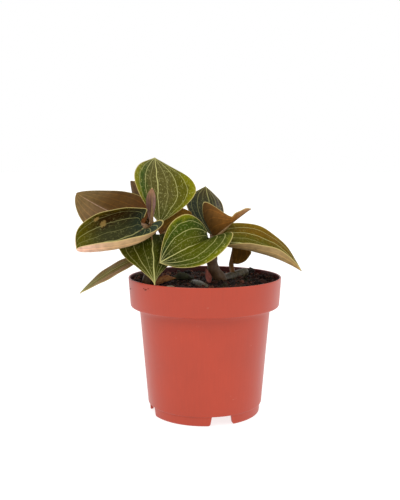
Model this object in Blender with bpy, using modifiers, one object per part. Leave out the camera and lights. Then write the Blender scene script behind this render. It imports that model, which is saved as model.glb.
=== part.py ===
"""Potted jewel orchid: two creeping shoots with broad veined leaves in a 12 cm nursery pot.

Origin on the pot's axis, at the surface that it stands on. +Z is up and -Y is the plant's front.
Sizes below are millimetres and degrees, and every mesh is scaled to metres as it is made.
"""

import math
from dataclasses import dataclass, replace

import bmesh
import bpy
import numpy as np
from mathutils import Vector, noise

MM = 0.001
CLEARANCE = 0.3
OVERSHOOT = 1.0
PART_NAME = "potted_jewel_orchid"

# Pot
RIM_RADIUS = 60.0
POT_HEIGHT = 107.6
WALL = 1.3
BAND_HEIGHT = 22.8
BAND_FOOT_RADIUS = 58.5
SHOULDER_RADIUS = 51.4
SHOULDER_DROP = 3.2
STEP_RADIUS = 45.1
FOOT_HEIGHT = 7.6
FOOT_RADIUS = 43.4
FOOT_ROUNDING = 1.2
FLOOR_THICKNESS = 1.6
PAD_RADIUS = 15.0
POT_SEGMENTS = 40
NOTCH_COUNT = 4
NOTCH_ANGLE = -73.2
NOTCH_WIDTH = 17.0
NOTCH_FLARE = 2.5
DRAIN_HOLES = 8
DRAIN_CIRCLE = 30.0
DRAIN_RADIUS = 3.0

# Potting soil
SOIL_LEVEL = 102.6
SOIL_MOUND = 1.6
SOIL_BUMP = 1.7
SOIL_RINGS = 6
SOIL_SEGMENTS = 32

# Leaves
BLADE_THICKNESS = 0.8
BLADE_GRID = (10, 8)
LITTER_GRID = (6, 6)
BLADE_START = 0.02
PETIOLE_RADIUS = 1.7
RIB_END_RADIUS = 0.45
RIB_REACH = 0.5
RIB_SINK = 0.85
TUBE_SIDES_STEP = 2


@dataclass(frozen=True)
class Leaf:
    """One leaf. Pairs hold the left and the right half, seen along the leaf with its upper side up.

    The petiole leaves the stem at the height joins, and ends at base, where the blade starts. Crook
    is an extra rise that dies away from the base, and swing turns the heading along the blade.
    Halves scale the two half widths, horn is the least half width up to the tip, and stalk is the
    petiole's radius.
    """

    name: str
    stem: str
    joins: float
    base: tuple
    heading: float
    rise: float
    length: float
    width: float
    bend: float = 0.0
    crook: float = 0.0
    swing: float = 0.0
    roll: float = 0.0
    widest: float = 0.42
    lobe: tuple = (2.0, 2.0)
    fold: tuple = (10.0, 10.0)
    curl: tuple = (10.0, 10.0)
    tip_fold: tuple = None
    tip_curl: tuple = None
    blunt: float = 0.75
    point: float = 0.95
    wave: float = 0.5
    halves: tuple = (1.0, 1.0)
    horn: float = 0.0
    stalk: float = PETIOLE_RADIUS
    colour: str = "leaf_green"
    solver: str = "EXACT"


@dataclass(frozen=True)
class Stem:
    """A fleshy stem or runner: points along its middle, each with its radius as the fourth number."""

    name: str
    route: tuple
    rounded_end: bool = False


LEFT_STEM = Stem("stem_left", (
    (-45.0, -15.0, 92.0, 3.4), (-44.5, -16.0, 104.0, 3.8), (-43.0, -17.5, 116.0, 3.3),
    (-42.0, -18.5, 128.0, 3.4), (-40.5, -18.5, 140.0, 2.9), (-39.5, -18.0, 149.0, 2.0)))
RIGHT_STEM = Stem("stem_right", (
    (14.0, 5.0, 94.0, 4.0), (12.5, 3.0, 104.0, 4.9), (7.0, 0.5, 113.0, 4.5),
    (5.2, 0.0, 123.0, 4.2), (6.2, 0.5, 131.0, 3.7), (7.0, 0.5, 137.0, 2.6)))

LEAVES = (
    Leaf("leaf_upright", "stem_left", 144.0, (-35, -13, 150.3), 99, 72, 60.5, 60, bend=-30,
         widest=0.46, lobe=(0, 0), fold=(36, 12), curl=(25, 5), tip_fold=(26, -5), tip_curl=(10, -5),
         halves=(0.82, 1), blunt=1.0, point=1.05),
    Leaf("leaf_bowl", "stem_left", 141.0, (-45.5, -27, 148.3), 200, -16, 53.5, 53, bend=8, crook=-32,
         roll=54, widest=0.41, lobe=(25, 18), fold=(0, 0), curl=(100, 140), tip_curl=(140, 60),
         halves=(0.92, 1.05), blunt=0.55, point=0.32),
    Leaf("leaf_back_left", "stem_left", 141.0, (-46, -12, 148), 158, 15, 65, 47, bend=14, roll=-105,
         widest=0.4, lobe=(3, 3), fold=(5, 40), curl=(12, 0), tip_fold=(42, 0), blunt=0.42,
         point=0.55, colour="leaf_brown"),
    Leaf("leaf_rolled_back", "stem_left", 136.0, (-44.5, 12, 148), 160, 45, 38, 34, bend=40,
         widest=0.5, lobe=(0, 0), curl=(100, 100), point=0.45, wave=0.0, colour="leaf_brown"),
    Leaf("leaf_rolled_young", "stem_left", 149.0, (-40.5, -24, 152), 285, 72, 26, 15, bend=15,
         widest=0.6, lobe=(0, 0), curl=(105, 105), blunt=0.4, point=0.9, wave=0.0,
         colour="leaf_brown", solver="MANIFOLD"),
    Leaf("leaf_between", "stem_left", 128.0, (-34.5, -4, 139.5), 20, 35, 31, 27, roll=100,
         halves=(0.8, 1.25), widest=0.45, lobe=(0, 0), fold=(5, 5), curl=(10, 10), point=0.7,
         colour="leaf_brown"),
    Leaf("leaf_hanging", "stem_left", 134.0, (-40, -28, 143.5), 279, -40, 42, 56, bend=-37,
         widest=0.2, lobe=(28, 19), fold=(-12, -25), curl=(0, 0), tip_fold=(-52, -25), blunt=0.4,
         point=1.3),
    Leaf("leaf_low_left", "stem_left", 124.0, (-45, -20, 127), 187, -20, 58, 27, bend=-20, roll=17,
         widest=0.45, lobe=(1, 1), fold=(0, -12), curl=(10, 10), wave=0.25),
    Leaf("leaf_heart", "stem_right", 132.0, (3, -7, 137.6), 243, -5, 54.5, 49, bend=-20, swing=-36,
         roll=51, widest=0.42, lobe=(23, -4), fold=(78, 28), curl=(-10, 15), tip_fold=(-5, 5),
         tip_curl=(0, 15), blunt=0.6, point=0.95),
    Leaf("leaf_back_right", "stem_right", 127.0, (6, 21, 138.0), 100, 72, 50, 40, bend=-40,
         halves=(1, 0.65), widest=0.5, lobe=(0, 0), fold=(10, -15), curl=(20, 0), tip_fold=(0, -15),
         tip_curl=(0, 0), point=1.0),
    Leaf("leaf_cup", "stem_right", 135.0, (6.5, 1, 137.8), 12, 39, 38, 58, bend=-6, widest=0.12,
         lobe=(-14, -9), fold=(20, 70), curl=(40, 10), tip_fold=(45, 50), tip_curl=(20, 50),
         halves=(0.75, 1), blunt=1.5, point=4.4, horn=4.5, colour="leaf_brown", solver="MANIFOLD"),
    Leaf("leaf_right", "stem_right", 125.0, (12.0, 0, 134.8), -8, 0, 68.5, 51, bend=-38, roll=-32,
         widest=0.4, lobe=(9, 2), fold=(0, 0), curl=(22, 56), tip_curl=(-20, 134), blunt=0.5),
    Leaf("leaf_small", "runner_right", 104.6, (23.5, 22, 114), 180, 88, 24, 30, lobe=(1, 1),
         fold=(60, 60), curl=(20, 20), stalk=2.1, colour="leaf_brown", solver="MANIFOLD"),
)

COLOURS = {
    "pot": ((0.52, 0.085, 0.045), 0.38),
    "soil": ((0.022, 0.012, 0.009), 0.95),
    "stem": ((0.16, 0.10, 0.062), 0.55),
    "runner": ((0.13, 0.125, 0.085), 0.6),
    "leaf_green": ((0.085, 0.115, 0.018), 0.42),
    "leaf_brown": ((0.21, 0.125, 0.06), 0.5),
    "sheath": ((0.30, 0.13, 0.075), 0.7),
    "root": ((0.42, 0.36, 0.27), 0.7),
    "chip": ((0.05, 0.04, 0.03), 0.9),
}

# Pieces that lie on the soil, made like small blades with no petiole
LITTER = (
    Leaf("sheath_dry", "", 0, (-38, -22, 103.5), 15, 17, 17, 12, curl=(100, 100), fold=(10, 10),
         lobe=(0, 0), roll=30, wave=0.3, colour="sheath"),
    Leaf("sheath_brown", "", 0, (-25.5, -5, 105.2), 5, 2, 17, 13, curl=(95, 95), fold=(5, 5),
         lobe=(0, 0), roll=25, wave=0.3, colour="runner"),
    Leaf("sheath_pink", "", 0, (3.0, -11, 102.5), 110, 62, 13, 6.5, curl=(60, 60), fold=(5, 5),
         lobe=(0, 0), roll=-10, wave=0.0, colour="sheath"),
)
RUNNER_RIGHT = Stem("runner_right", (
    (12.0, 3.5, 104.0, 4.6), (17.0, 9.5, 103.8, 4.3), (23.0, 16.0, 104.6, 4.0),
    (28.0, 20.5, 105.8, 3.9), (32.5, 24.0, 107.0, 3.7)), rounded_end=True)
RUNNER_LEFT = Stem("runner_left", (
    (-12.0, -5.0, 101.2, 2.6), (-8.5, -11.0, 103.0, 3.1), (-4.5, -18.0, 103.4, 3.2),
    (0.0, -25.0, 102.4, 3.0)), rounded_end=True)
PALE_ROOT = Stem("root_pale", (
    (-33.0, -33.0, 103.6, 0.5), (-28.0, -31.0, 104.2, 0.55), (-23.0, -30.0, 103.8, 0.5)))
CHIP_SIZE = (7.0, 3.0, 8.0)
CHIP_PLACE = (38.0, 38.0, 105.0)
CHIP_TURN = (18.0, 24.0, 30.0)


def clear_scene():
    for obj in list(bpy.data.objects):
        bpy.data.objects.remove(obj, do_unlink=True)


def add_collection(name):
    made = bpy.data.collections.new(name)
    bpy.context.scene.collection.children.link(made)
    return made


def add_material(name):
    colour, roughness = COLOURS[name]
    made = bpy.data.materials.new(name)
    made.use_nodes = True
    shader = made.node_tree.nodes["Principled BSDF"]
    shader.inputs["Base Color"].default_value = (*colour, 1.0)
    shader.inputs["Roughness"].default_value = roughness
    return made


def add_object(name, mesh, collection, material=None):
    obj = bpy.data.objects.new(name, mesh)
    collection.objects.link(obj)
    if material:
        obj.data.materials.clear()
        obj.data.materials.append(material)
    return obj


def make_cutter(obj):
    obj.hide_render = True
    obj.display_type = "WIRE"
    return obj


def boolean(obj, other, operation, solver="EXACT"):
    """EXACT by default. It empties three of the leaves, whose Booleans are MANIFOLD."""
    modifier = obj.modifiers.new(operation.lower(), "BOOLEAN")
    modifier.operation = operation
    modifier.object = other
    modifier.solver = solver


def shade_round(mesh, angle=35.0):
    mesh.shade_smooth()
    mesh.set_sharp_from_angle(angle=math.radians(angle))


def baked_mesh(obj):
    """The object's evaluated mesh as a new mesh in world space, with loose caps welded."""
    graph = bpy.context.evaluated_depsgraph_get()
    mesh = bpy.data.meshes.new_from_object(obj.evaluated_get(graph))
    mesh.transform(obj.matrix_world)
    work = bmesh.new()
    work.from_mesh(mesh)
    bmesh.ops.remove_doubles(work, verts=work.verts, dist=1e-6)
    bmesh.ops.recalc_face_normals(work, faces=work.faces)
    work.to_mesh(mesh)
    work.free()
    return mesh


# Turned pieces

def turned(name, profile, segments, collection, material=None):
    """A profile of (radius, height) that runs down its outer side, turned about Z."""
    mesh = bpy.data.meshes.new(name)
    points = [(radius * MM, 0.0, height * MM) for radius, height in profile]
    mesh.from_pydata(points, [(i, i + 1) for i in range(len(points) - 1)], [])
    obj = add_object(name, mesh, collection, material)
    screw = obj.modifiers.new("turn", "SCREW")
    screw.steps = screw.render_steps = segments
    screw.use_merge_vertices = True
    screw.merge_threshold = 1e-5
    return obj


def inner_wall(inset):
    """The pot's inner side from floor to rim, moved inwards by inset."""
    floor = FOOT_HEIGHT + FLOOR_THICKNESS + inset
    band_foot = POT_HEIGHT - BAND_HEIGHT
    shoulder = band_foot - SHOULDER_DROP
    rounding = 2.0
    return [
        (0.0, floor),
        (STEP_RADIUS - WALL - inset - rounding, floor),
        (STEP_RADIUS - WALL - inset, floor + rounding),
        (SHOULDER_RADIUS - WALL - inset, shoulder + WALL),
        (BAND_FOOT_RADIUS - WALL - inset - 0.8, band_foot + WALL - 0.3),
        (BAND_FOOT_RADIUS - WALL - inset, band_foot + WALL + 0.8),
        (RIM_RADIUS - WALL - inset, POT_HEIGHT - 0.4),
    ]


def pot_profile():
    band_foot = POT_HEIGHT - BAND_HEIGHT
    shoulder = band_foot - SHOULDER_DROP
    lip = 0.35
    ring_inner = FOOT_RADIUS - 2.2
    return inner_wall(0.0) + [
        (RIM_RADIUS - WALL + lip, POT_HEIGHT),
        (RIM_RADIUS - lip, POT_HEIGHT),
        (RIM_RADIUS, POT_HEIGHT - lip),
        (BAND_FOOT_RADIUS, band_foot + 1.4),
        (BAND_FOOT_RADIUS - 0.5, band_foot + 0.3),
        (BAND_FOOT_RADIUS - 1.6, band_foot),
        (SHOULDER_RADIUS + 1.2, shoulder + 0.6),
        (SHOULDER_RADIUS, shoulder - 1.2),
        (STEP_RADIUS, FOOT_HEIGHT + 0.4),
        (STEP_RADIUS - 0.7, FOOT_HEIGHT),
        (FOOT_RADIUS + 0.2, FOOT_ROUNDING),
        (FOOT_RADIUS - 0.3, FOOT_ROUNDING * 0.3),
        (FOOT_RADIUS - FOOT_ROUNDING, 0.0),
        (ring_inner, 0.0),
        (ring_inner, FOOT_HEIGHT),
        (PAD_RADIUS + 1.5, FOOT_HEIGHT),
        (PAD_RADIUS, FOOT_HEIGHT - 1.5),
        (PAD_RADIUS, 0.0),
        (0.0, 0.0),
    ]


def notch_cutter(angle, collection):
    """A foot notch: its sides lean outwards, and flare where the foot's lower corners are rounded."""
    half = NOTCH_WIDTH / 2
    side = [(half + NOTCH_FLARE, -OVERSHOOT), (half + NOTCH_FLARE, 0.0)]
    for step in range(1, 4):
        turn = math.radians(30.0 * step)
        side.append((half + NOTCH_FLARE * (1 - math.sin(turn)), NOTCH_FLARE * (1 - math.cos(turn))))
    side.append((half - 0.8, FOOT_HEIGHT))
    outline = side + [(-x, z) for x, z in reversed(side)]
    work = bmesh.new()
    near, far = PAD_RADIUS + 2 * OVERSHOOT, STEP_RADIUS + 4 * OVERSHOOT
    face = work.faces.new([work.verts.new((near * MM, x * MM, z * MM)) for x, z in outline])
    grown = bmesh.ops.extrude_face_region(work, geom=[face])
    moved = [item for item in grown["geom"] if isinstance(item, bmesh.types.BMVert)]
    bmesh.ops.translate(work, verts=moved, vec=((far - near) * MM, 0, 0))
    bmesh.ops.recalc_face_normals(work, faces=work.faces)
    mesh = bpy.data.meshes.new("notch")
    work.to_mesh(mesh)
    work.free()
    cutter = make_cutter(add_object("notch", mesh, collection))
    cutter.rotation_euler.z = math.radians(angle)
    return cutter


def drain_cutter(index, collection):
    angle = math.radians(360.0 * (index + 0.5) / DRAIN_HOLES)
    work = bmesh.new()
    bmesh.ops.create_cone(work, cap_ends=True, segments=12, radius1=DRAIN_RADIUS * MM,
                          radius2=DRAIN_RADIUS * MM, depth=3 * FLOOR_THICKNESS * MM)
    mesh = bpy.data.meshes.new("drain")
    work.to_mesh(mesh)
    work.free()
    cutter = make_cutter(add_object("drain", mesh, collection))
    cutter.location = (DRAIN_CIRCLE * math.cos(angle) * MM, DRAIN_CIRCLE * math.sin(angle) * MM,
                       (FOOT_HEIGHT + FLOOR_THICKNESS / 2) * MM)
    return cutter


def build_pot(parts, cutters, materials):
    pot = turned("pot", pot_profile(), POT_SEGMENTS, parts, materials["pot"])
    for index in range(NOTCH_COUNT):
        boolean(pot, notch_cutter(NOTCH_ANGLE + index * 360.0 / NOTCH_COUNT, cutters), "DIFFERENCE")
    for index in range(DRAIN_HOLES):
        boolean(pot, drain_cutter(index, cutters), "DIFFERENCE")
    return pot


# Stems and other round pieces

def smooth_route(route, per_span=4):
    """Points and radii along a Catmull-Rom curve through the route's own points."""
    points = np.array(route, float)
    ends = np.vstack([2 * points[0] - points[1], points, 2 * points[-1] - points[-2]])
    found = []
    for a, b, c, d in zip(ends, ends[1:], ends[2:], ends[3:]):
        for step in range(per_span):
            t = step / per_span
            found.append(0.5 * (2 * b + (c - a) * t + (2 * a - 5 * b + 4 * c - d) * t**2
                                + (3 * b - a - 3 * c + d) * t**3))
    found.append(points[-1])
    return np.array(found)


def with_round_end(points):
    """Adds a dome to the last point, in three steps."""
    last, direction = points[-1], points[-1][:3] - points[-2][:3]
    direction /= np.linalg.norm(direction)
    dome = []
    for turn in (30.0, 60.0, 82.0):
        out = last[3] * math.sin(math.radians(turn))
        dome.append((*(last[:3] + direction * out), last[3] * math.cos(math.radians(turn))))
    return np.vstack([points, dome])


def tube_mesh(name, points, extra=0.0):
    """A closed round tube through points with radii, each radius larger by extra."""
    curve = bpy.data.curves.new(name, "CURVE")
    curve.dimensions = "3D"
    curve.bevel_depth = MM
    curve.bevel_resolution = TUBE_SIDES_STEP
    curve.use_fill_caps = True
    spline = curve.splines.new("POLY")
    spline.points.add(len(points) - 1)
    for point, (x, y, z, radius) in zip(spline.points, points):
        point.co = (x * MM, y * MM, z * MM, 1.0)
        point.radius = radius + extra
    guide = bpy.data.objects.new(name, curve)
    bpy.context.scene.collection.objects.link(guide)
    bpy.context.view_layer.update()
    mesh = baked_mesh(guide)
    bpy.data.objects.remove(guide, do_unlink=True)
    return mesh


def stem_points(stem):
    points = smooth_route(stem.route)
    return with_round_end(points) if stem.rounded_end else points


def stem_solid(stem, collection, material):
    mesh = tube_mesh(stem.name, stem_points(stem))
    shade_round(mesh)
    return add_object(stem.name, mesh, collection, material)


def stem_room(stem, collection, extra=CLEARANCE):
    mesh = tube_mesh(stem.name + "_room", stem_points(stem), extra)
    return make_cutter(add_object(stem.name + "_room", mesh, collection))


# Leaves

def elevation(leaf, along):
    return leaf.rise + leaf.bend * along + leaf.crook * np.exp(-along / 0.12)


def direction(heading, rise):
    heading, rise = np.radians(heading), np.radians(rise)
    flat = np.cos(rise)
    return np.stack([flat * np.cos(heading), flat * np.sin(heading), np.sin(rise)], -1)


def midrib(leaf, along):
    """Points on the midrib at these shares of its length, with the right-hand and upward directions."""
    steps = 240
    share = np.linspace(0.0, 1.0, steps + 1)
    middle = (share[1:] + share[:-1]) / 2
    heading = leaf.heading + leaf.swing * middle
    hops = direction(heading, elevation(leaf, middle)) * leaf.length / steps
    path = np.vstack([np.zeros(3), np.cumsum(hops, axis=0)]) + np.array(leaf.base, float)
    points = np.stack([np.interp(along, share, path[:, axis]) for axis in range(3)], -1)
    heading = leaf.heading + leaf.swing * along
    forward = direction(heading, elevation(leaf, along))
    turn = np.radians(heading)
    level = np.stack([np.sin(turn), -np.cos(turn), np.zeros_like(turn)], -1)
    upright = np.cross(level, forward)
    roll = math.radians(leaf.roll)
    side = math.cos(roll) * level + math.sin(roll) * upright
    up = math.cos(roll) * upright - math.sin(roll) * level
    return points, forward, side, up


def half_width(leaf, along):
    power = math.log(0.5) / math.log(leaf.widest)
    swell = np.sin(math.pi * np.clip(along, 0, 1) ** power).clip(0, 1)
    width = leaf.width / 2 * swell ** (leaf.blunt + (leaf.point - leaf.blunt) * along)
    horn = leaf.horn * (1 - along**12)
    return np.maximum(np.maximum(width, horn), 0.6)


def blade_points(leaf, along, across):
    """Points on the blade: rows at shares of the length, columns from -1 (left edge) to 1."""
    middle, forward, side, up = midrib(leaf, along)
    width = half_width(leaf, along)
    sweep = (1 - np.exp(-along / 0.05)) * (1 - along) ** 2.5
    tip_fold, tip_curl = leaf.tip_fold or leaf.fold, leaf.tip_curl or leaf.curl
    grid = np.zeros((len(along), len(across), 3))
    for column, share in enumerate(across):
        half, reach = int(share > 0), abs(share)
        fold = np.radians(leaf.fold[half] + (tip_fold[half] - leaf.fold[half]) * along)
        curl = np.radians(leaf.curl[half] + (tip_curl[half] - leaf.curl[half]) * along)
        curl = np.where(np.abs(curl) < 1e-3, 1e-3, curl)
        wide = width * leaf.halves[half]
        out = (np.sin(fold + curl * reach) - np.sin(fold)) / curl
        lift = (np.cos(fold) - np.cos(fold + curl * reach)) / curl
        ripple = leaf.wave * np.sin(6 * math.pi * along + 1.7 * half) * reach**2.5 * np.sin(math.pi * along)
        grid[:, column] = (middle + side * (np.sign(share) * wide * out)[:, None]
                           + up * (wide * lift + ripple)[:, None]
                           - forward * (leaf.lobe[half] * sweep * reach**1.6)[:, None])
    return grid


def blade_object(leaf, size, collection, material=None, extra=0.0):
    """The blade: a triangulated sheet, the same on both faces, given its thickness by Solidify."""
    rows, columns = size
    ease = (1 - np.cos(math.pi * np.linspace(0, 1, rows + 1))) / 2
    along = BLADE_START + (1 - BLADE_START) * ease
    grid = blade_points(leaf, along, np.linspace(-1, 1, columns + 1)) * MM
    points = [tuple(p) for p in grid[:-1].reshape(-1, 3)] + [tuple(grid[-1, columns // 2])]
    faces = []
    for row in range(rows - 1):
        for column in range(columns):
            a = row * (columns + 1) + column
            b, c, d = a + 1, a + columns + 2, a + columns + 1
            left = column < columns // 2
            faces += [(a, b, c), (a, c, d)] if left else [(a, b, d), (b, c, d)]
    last, tip = (rows - 1) * (columns + 1), rows * (columns + 1)
    faces += [(last + column, last + column + 1, tip) for column in range(columns)]
    mesh = bpy.data.meshes.new(leaf.name)
    mesh.from_pydata(points, [], faces)
    mesh.shade_smooth()
    obj = add_object(leaf.name, mesh, collection, material)
    thick = obj.modifiers.new("thickness", "SOLIDIFY")
    thick.thickness = (BLADE_THICKNESS + 2 * extra) * MM
    thick.offset = 0.0
    return obj


def on_stem(stem, height):
    """The point on a stem's middle at this height."""
    points = smooth_route(stem.route)
    order = np.argsort(points[:, 2])
    return np.array([np.interp(height, points[order, 2], points[order, axis]) for axis in range(3)])


def petiole_points(leaf, stem):
    """The petiole from the stem's middle to the blade, and the rib that it becomes under the blade."""
    along = np.array([0.0, 0.12, 0.28, RIB_REACH])
    middle, forward, _, up = midrib(leaf, along)
    start, end = on_stem(stem, leaf.joins), middle[0] - up[0] * leaf.stalk * RIB_SINK
    reach = np.linalg.norm(end - start) / 3
    bend_in, bend_out = start + np.array([0.0, 0.0, reach]), end - forward[0] * reach
    points = []
    for t in (0.0, 0.35, 0.7):
        place = ((1 - t) ** 3 * start + 3 * (1 - t) ** 2 * t * bend_in
                 + 3 * (1 - t) * t**2 * bend_out + t**3 * end)
        points.append((*place, leaf.stalk))
    for share, place, lift in zip(along, middle, up):
        radius = leaf.stalk + (RIB_END_RADIUS - leaf.stalk) * share / RIB_REACH
        points.append((*(place - lift * radius * RIB_SINK), radius))
    return np.array(points)


def build_leaf(leaf, stem, clearance, parts, cutters, materials):
    blade = blade_object(leaf, BLADE_GRID, parts, materials[leaf.colour])
    rib = make_cutter(add_object(leaf.name + "_rib", tube_mesh("rib", petiole_points(leaf, stem)), cutters))
    boolean(blade, rib, "UNION", leaf.solver)
    boolean(blade, clearance, "DIFFERENCE", leaf.solver)
    return blade


# Soil

def soil_height(x, y):
    """Bumps on the soil, from three sizes of smooth noise."""
    height = 0.0
    for size, share in ((14.0, 0.5), (6.5, 0.35), (3.4, 0.25)):
        height += share * noise.noise(Vector((x / size, y / size, 3.7)))
    return SOIL_BUMP * height


def build_soil(parts, cutters, materials, pieces):
    wall = [(radius, height) for radius, height in inner_wall(CLEARANCE) if height < SOIL_LEVEL]
    edge = RIM_RADIUS - WALL - CLEARANCE - 0.4
    rings = [(edge * (1 - step / SOIL_RINGS), SOIL_LEVEL + SOIL_MOUND * (step / SOIL_RINGS) ** 0.7)
             for step in range(SOIL_RINGS + 1)]
    shape = turned("soil", list(reversed(wall + rings)), SOIL_SEGMENTS, cutters)
    bpy.context.view_layer.update()
    mesh = baked_mesh(shape)
    bpy.data.objects.remove(shape, do_unlink=True)
    for vertex in mesh.vertices:
        if vertex.co.z > (SOIL_LEVEL - 0.1) * MM and vertex.co.xy.length < (edge - 1.0) * MM:
            vertex.co.z += soil_height(vertex.co.x / MM, vertex.co.y / MM) * MM
    mesh.shade_smooth()
    soil = add_object("soil", mesh, parts, materials["soil"])
    for piece in pieces:
        boolean(soil, piece, "DIFFERENCE")
    return soil


def build_chip(name, collection, material=None, extra=0.0):
    work = bmesh.new()
    bmesh.ops.create_cube(work, size=1.0)
    bmesh.ops.scale(work, verts=work.verts, vec=[(side + 2 * extra) * MM for side in CHIP_SIZE])
    for vertex in work.verts:
        if vertex.co.z > 0:
            vertex.co.x *= 0.45
    mesh = bpy.data.meshes.new(name)
    work.to_mesh(mesh)
    work.free()
    chip = add_object(name, mesh, collection, material)
    chip.location = [value * MM for value in CHIP_PLACE]
    chip.rotation_euler = [math.radians(value) for value in CHIP_TURN]
    return chip


def grown(leaf):
    """The leaf a little longer at both ends and wider, for the room that it needs in the soil."""
    extra = 2 * CLEARANCE
    start = np.array(leaf.base) - extra * direction(leaf.heading, leaf.rise)
    return replace(leaf, name=leaf.name + "_room", base=tuple(start),
                   length=leaf.length + 2 * extra, width=leaf.width + 2 * extra)


def main():
    clear_scene()
    parts, cutters = add_collection(PART_NAME), add_collection("cutters")
    materials = {name: add_material(name) for name in COLOURS}
    build_pot(parts, cutters, materials)

    clearances = {}
    for stem in (LEFT_STEM, RIGHT_STEM, RUNNER_RIGHT, RUNNER_LEFT, PALE_ROOT):
        clearances[stem.name] = stem_room(stem, cutters)
    stem_solid(LEFT_STEM, parts, materials["stem"])
    right = stem_solid(RIGHT_STEM, parts, materials["stem"])
    boolean(right, stem_room(RUNNER_RIGHT, cutters, extra=0.0), "UNION")
    stem_solid(RUNNER_LEFT, parts, materials["runner"])
    stem_solid(PALE_ROOT, parts, materials["root"])

    stems = {stem.name: stem for stem in (LEFT_STEM, RIGHT_STEM, RUNNER_RIGHT)}
    for leaf in LEAVES:
        build_leaf(leaf, stems[leaf.stem], clearances[leaf.stem], parts, cutters, materials)

    pieces = list(clearances.values())
    for scrap in LITTER:
        blade_object(scrap, LITTER_GRID, parts, materials[scrap.colour])
        pieces.append(make_cutter(blade_object(grown(scrap), LITTER_GRID, cutters, extra=CLEARANCE)))
    build_chip("chip", parts, materials["chip"])
    pieces.append(make_cutter(build_chip("chip_room", cutters, extra=CLEARANCE)))
    build_soil(parts, cutters, materials, pieces)


if __name__ == "__main__":
    main()
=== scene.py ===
"""The looks of a potted jewel orchid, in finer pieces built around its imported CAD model.

Sizes are millimetres and angles degrees, unless a line says otherwise. The values of the leaves, the
stems and the pot are those of the CAD source, so each finer piece keeps the form of its solid.
"""

import math
from dataclasses import dataclass
from functools import partial

import bmesh
import bpy
import numpy as np
from mathutils import Euler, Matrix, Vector, noise


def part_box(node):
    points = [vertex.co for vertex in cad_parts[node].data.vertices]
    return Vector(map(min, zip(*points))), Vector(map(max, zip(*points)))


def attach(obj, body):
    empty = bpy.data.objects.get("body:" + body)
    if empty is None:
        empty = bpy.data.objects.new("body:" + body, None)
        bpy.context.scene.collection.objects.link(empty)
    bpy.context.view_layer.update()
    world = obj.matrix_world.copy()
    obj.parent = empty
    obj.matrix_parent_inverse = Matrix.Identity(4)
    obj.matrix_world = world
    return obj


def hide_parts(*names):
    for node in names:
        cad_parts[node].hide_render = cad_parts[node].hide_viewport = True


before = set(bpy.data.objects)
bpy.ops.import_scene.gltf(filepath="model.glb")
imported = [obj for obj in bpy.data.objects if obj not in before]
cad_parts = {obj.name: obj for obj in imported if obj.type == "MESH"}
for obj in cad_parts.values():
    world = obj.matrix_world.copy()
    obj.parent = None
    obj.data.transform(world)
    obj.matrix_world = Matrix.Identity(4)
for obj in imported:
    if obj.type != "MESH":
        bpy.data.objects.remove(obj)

bl_info = {
    "name": "Potted jewel orchid",
    "version": (1, 0, 0),
    "blender": (4, 5, 0),
    "location": "3D View > Sidebar > Orchid",
    "description": "Builds a jewel orchid in its nursery pot around the CAD model",
    "category": "Add Mesh",
}

MM = 0.001

# The blades. Long veins stand VEIN_SPACING of the half blade apart, and it swells between them up to
# SWELL_REACH. A crook dies away over CROOK_REACH of the length, and the blade starts at BLADE_START.
# Its rib thins quickly up to RIB_REACH and slowly up to RIB_TIP, where it ends, and lies RIB_SINK of
# its own radius under the blade. The groove over the rib is in millimetres. A blade's margin is
# thinner by the share MARGIN_THINNING.
VEIN_SPACING = 0.26
SWELL_REACH = 0.93
CROOK_REACH = 0.12
BLADE_START = 0.02
RIB_REACH = 0.5
RIB_TIP = 0.92
RIB_SINK = 0.85
GROOVE_WIDTH = 0.9
GROOVE_DEPTH = 0.22
MARGIN_THINNING = 0.55
BLADE_ROWS = 84
BLADE_COLUMNS = 64
SHEATH_THICKNESS = 0.6

# The stems, in millimetres. Each petiole leaves from a cuff, which reaches further down than up, and
# a stem is uneven above the soil.
CUFF_SWELL = 0.45
CUFF_BELOW = 4.0
CUFF_ABOVE = 0.5
STEM_SWELL = 0.22
STEM_FOOT = 105.5


@dataclass(frozen=True)
class Look:
    """A leaf's colours. Left and right are its halves, seen along the leaf with its upper side up.

    Edge starts at edge_from, a share of the half blade. Veins and net are how strongly these show.
    Each scar is a share of the half blade, a share of the length, and a radius.
    """

    middle: str = "4C4A10"
    left: str = "545B10"
    right: str = "545B10"
    foot: str = "3A3E18"
    tip: str = "545010"
    edge: str = "5C600E"
    under_left: str = "6E5426"
    under_right: str = "6E5426"
    under_foot: str = "5A4018"
    under_tip: str = "7A5E38"
    edge_from: float = 0.8
    petiole: tuple = ("6A4C2C", "7E6238")
    veins: float = 1.0
    net: float = 1.0
    scars: tuple = ()


@dataclass(frozen=True)
class Leaf:
    """One leaf. Pairs hold the left and the right half, seen along the leaf with its upper side up.

    The petiole leaves the stem at the height joins, and ends at base, where the blade starts. Bend
    adds to the rise along the blade, swing adds to the heading, and crook is an extra rise that dies
    away from the base. Roll turns the blade round its midrib. Fold is each half's angle at the
    midrib, and curl how far it turns on to the margin, both at the foot, while tip_fold and tip_curl
    are those at the tip. Lobe is how far a half reaches back, widest is where the blade is widest,
    blunt and point shape its two ends, and wave is the margin's ripple. Halves scale the two half
    widths, horn is the least half width up to the tip, and stalk is the petiole's radius.
    """

    name: str
    stem: str
    joins: float
    base: tuple
    heading: float
    rise: float
    length: float
    width: float
    bend: float = 0.0
    crook: float = 0.0
    swing: float = 0.0
    roll: float = 0.0
    widest: float = 0.42
    lobe: tuple = (0.0, 0.0)
    fold: tuple = (10.0, 10.0)
    curl: tuple = (10.0, 10.0)
    tip_fold: tuple = None
    tip_curl: tuple = None
    blunt: float = 0.75
    point: float = 0.95
    wave: float = 0.5
    halves: tuple = (1.0, 1.0)
    horn: float = 0.0
    stalk: float = 1.7
    slot: str = "leaf_green"
    look: Look = Look()


@dataclass(frozen=True)
class Stem:
    """A fleshy stem or runner: points along its middle, each with its radius as the fourth number."""

    name: str
    route: tuple


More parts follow.
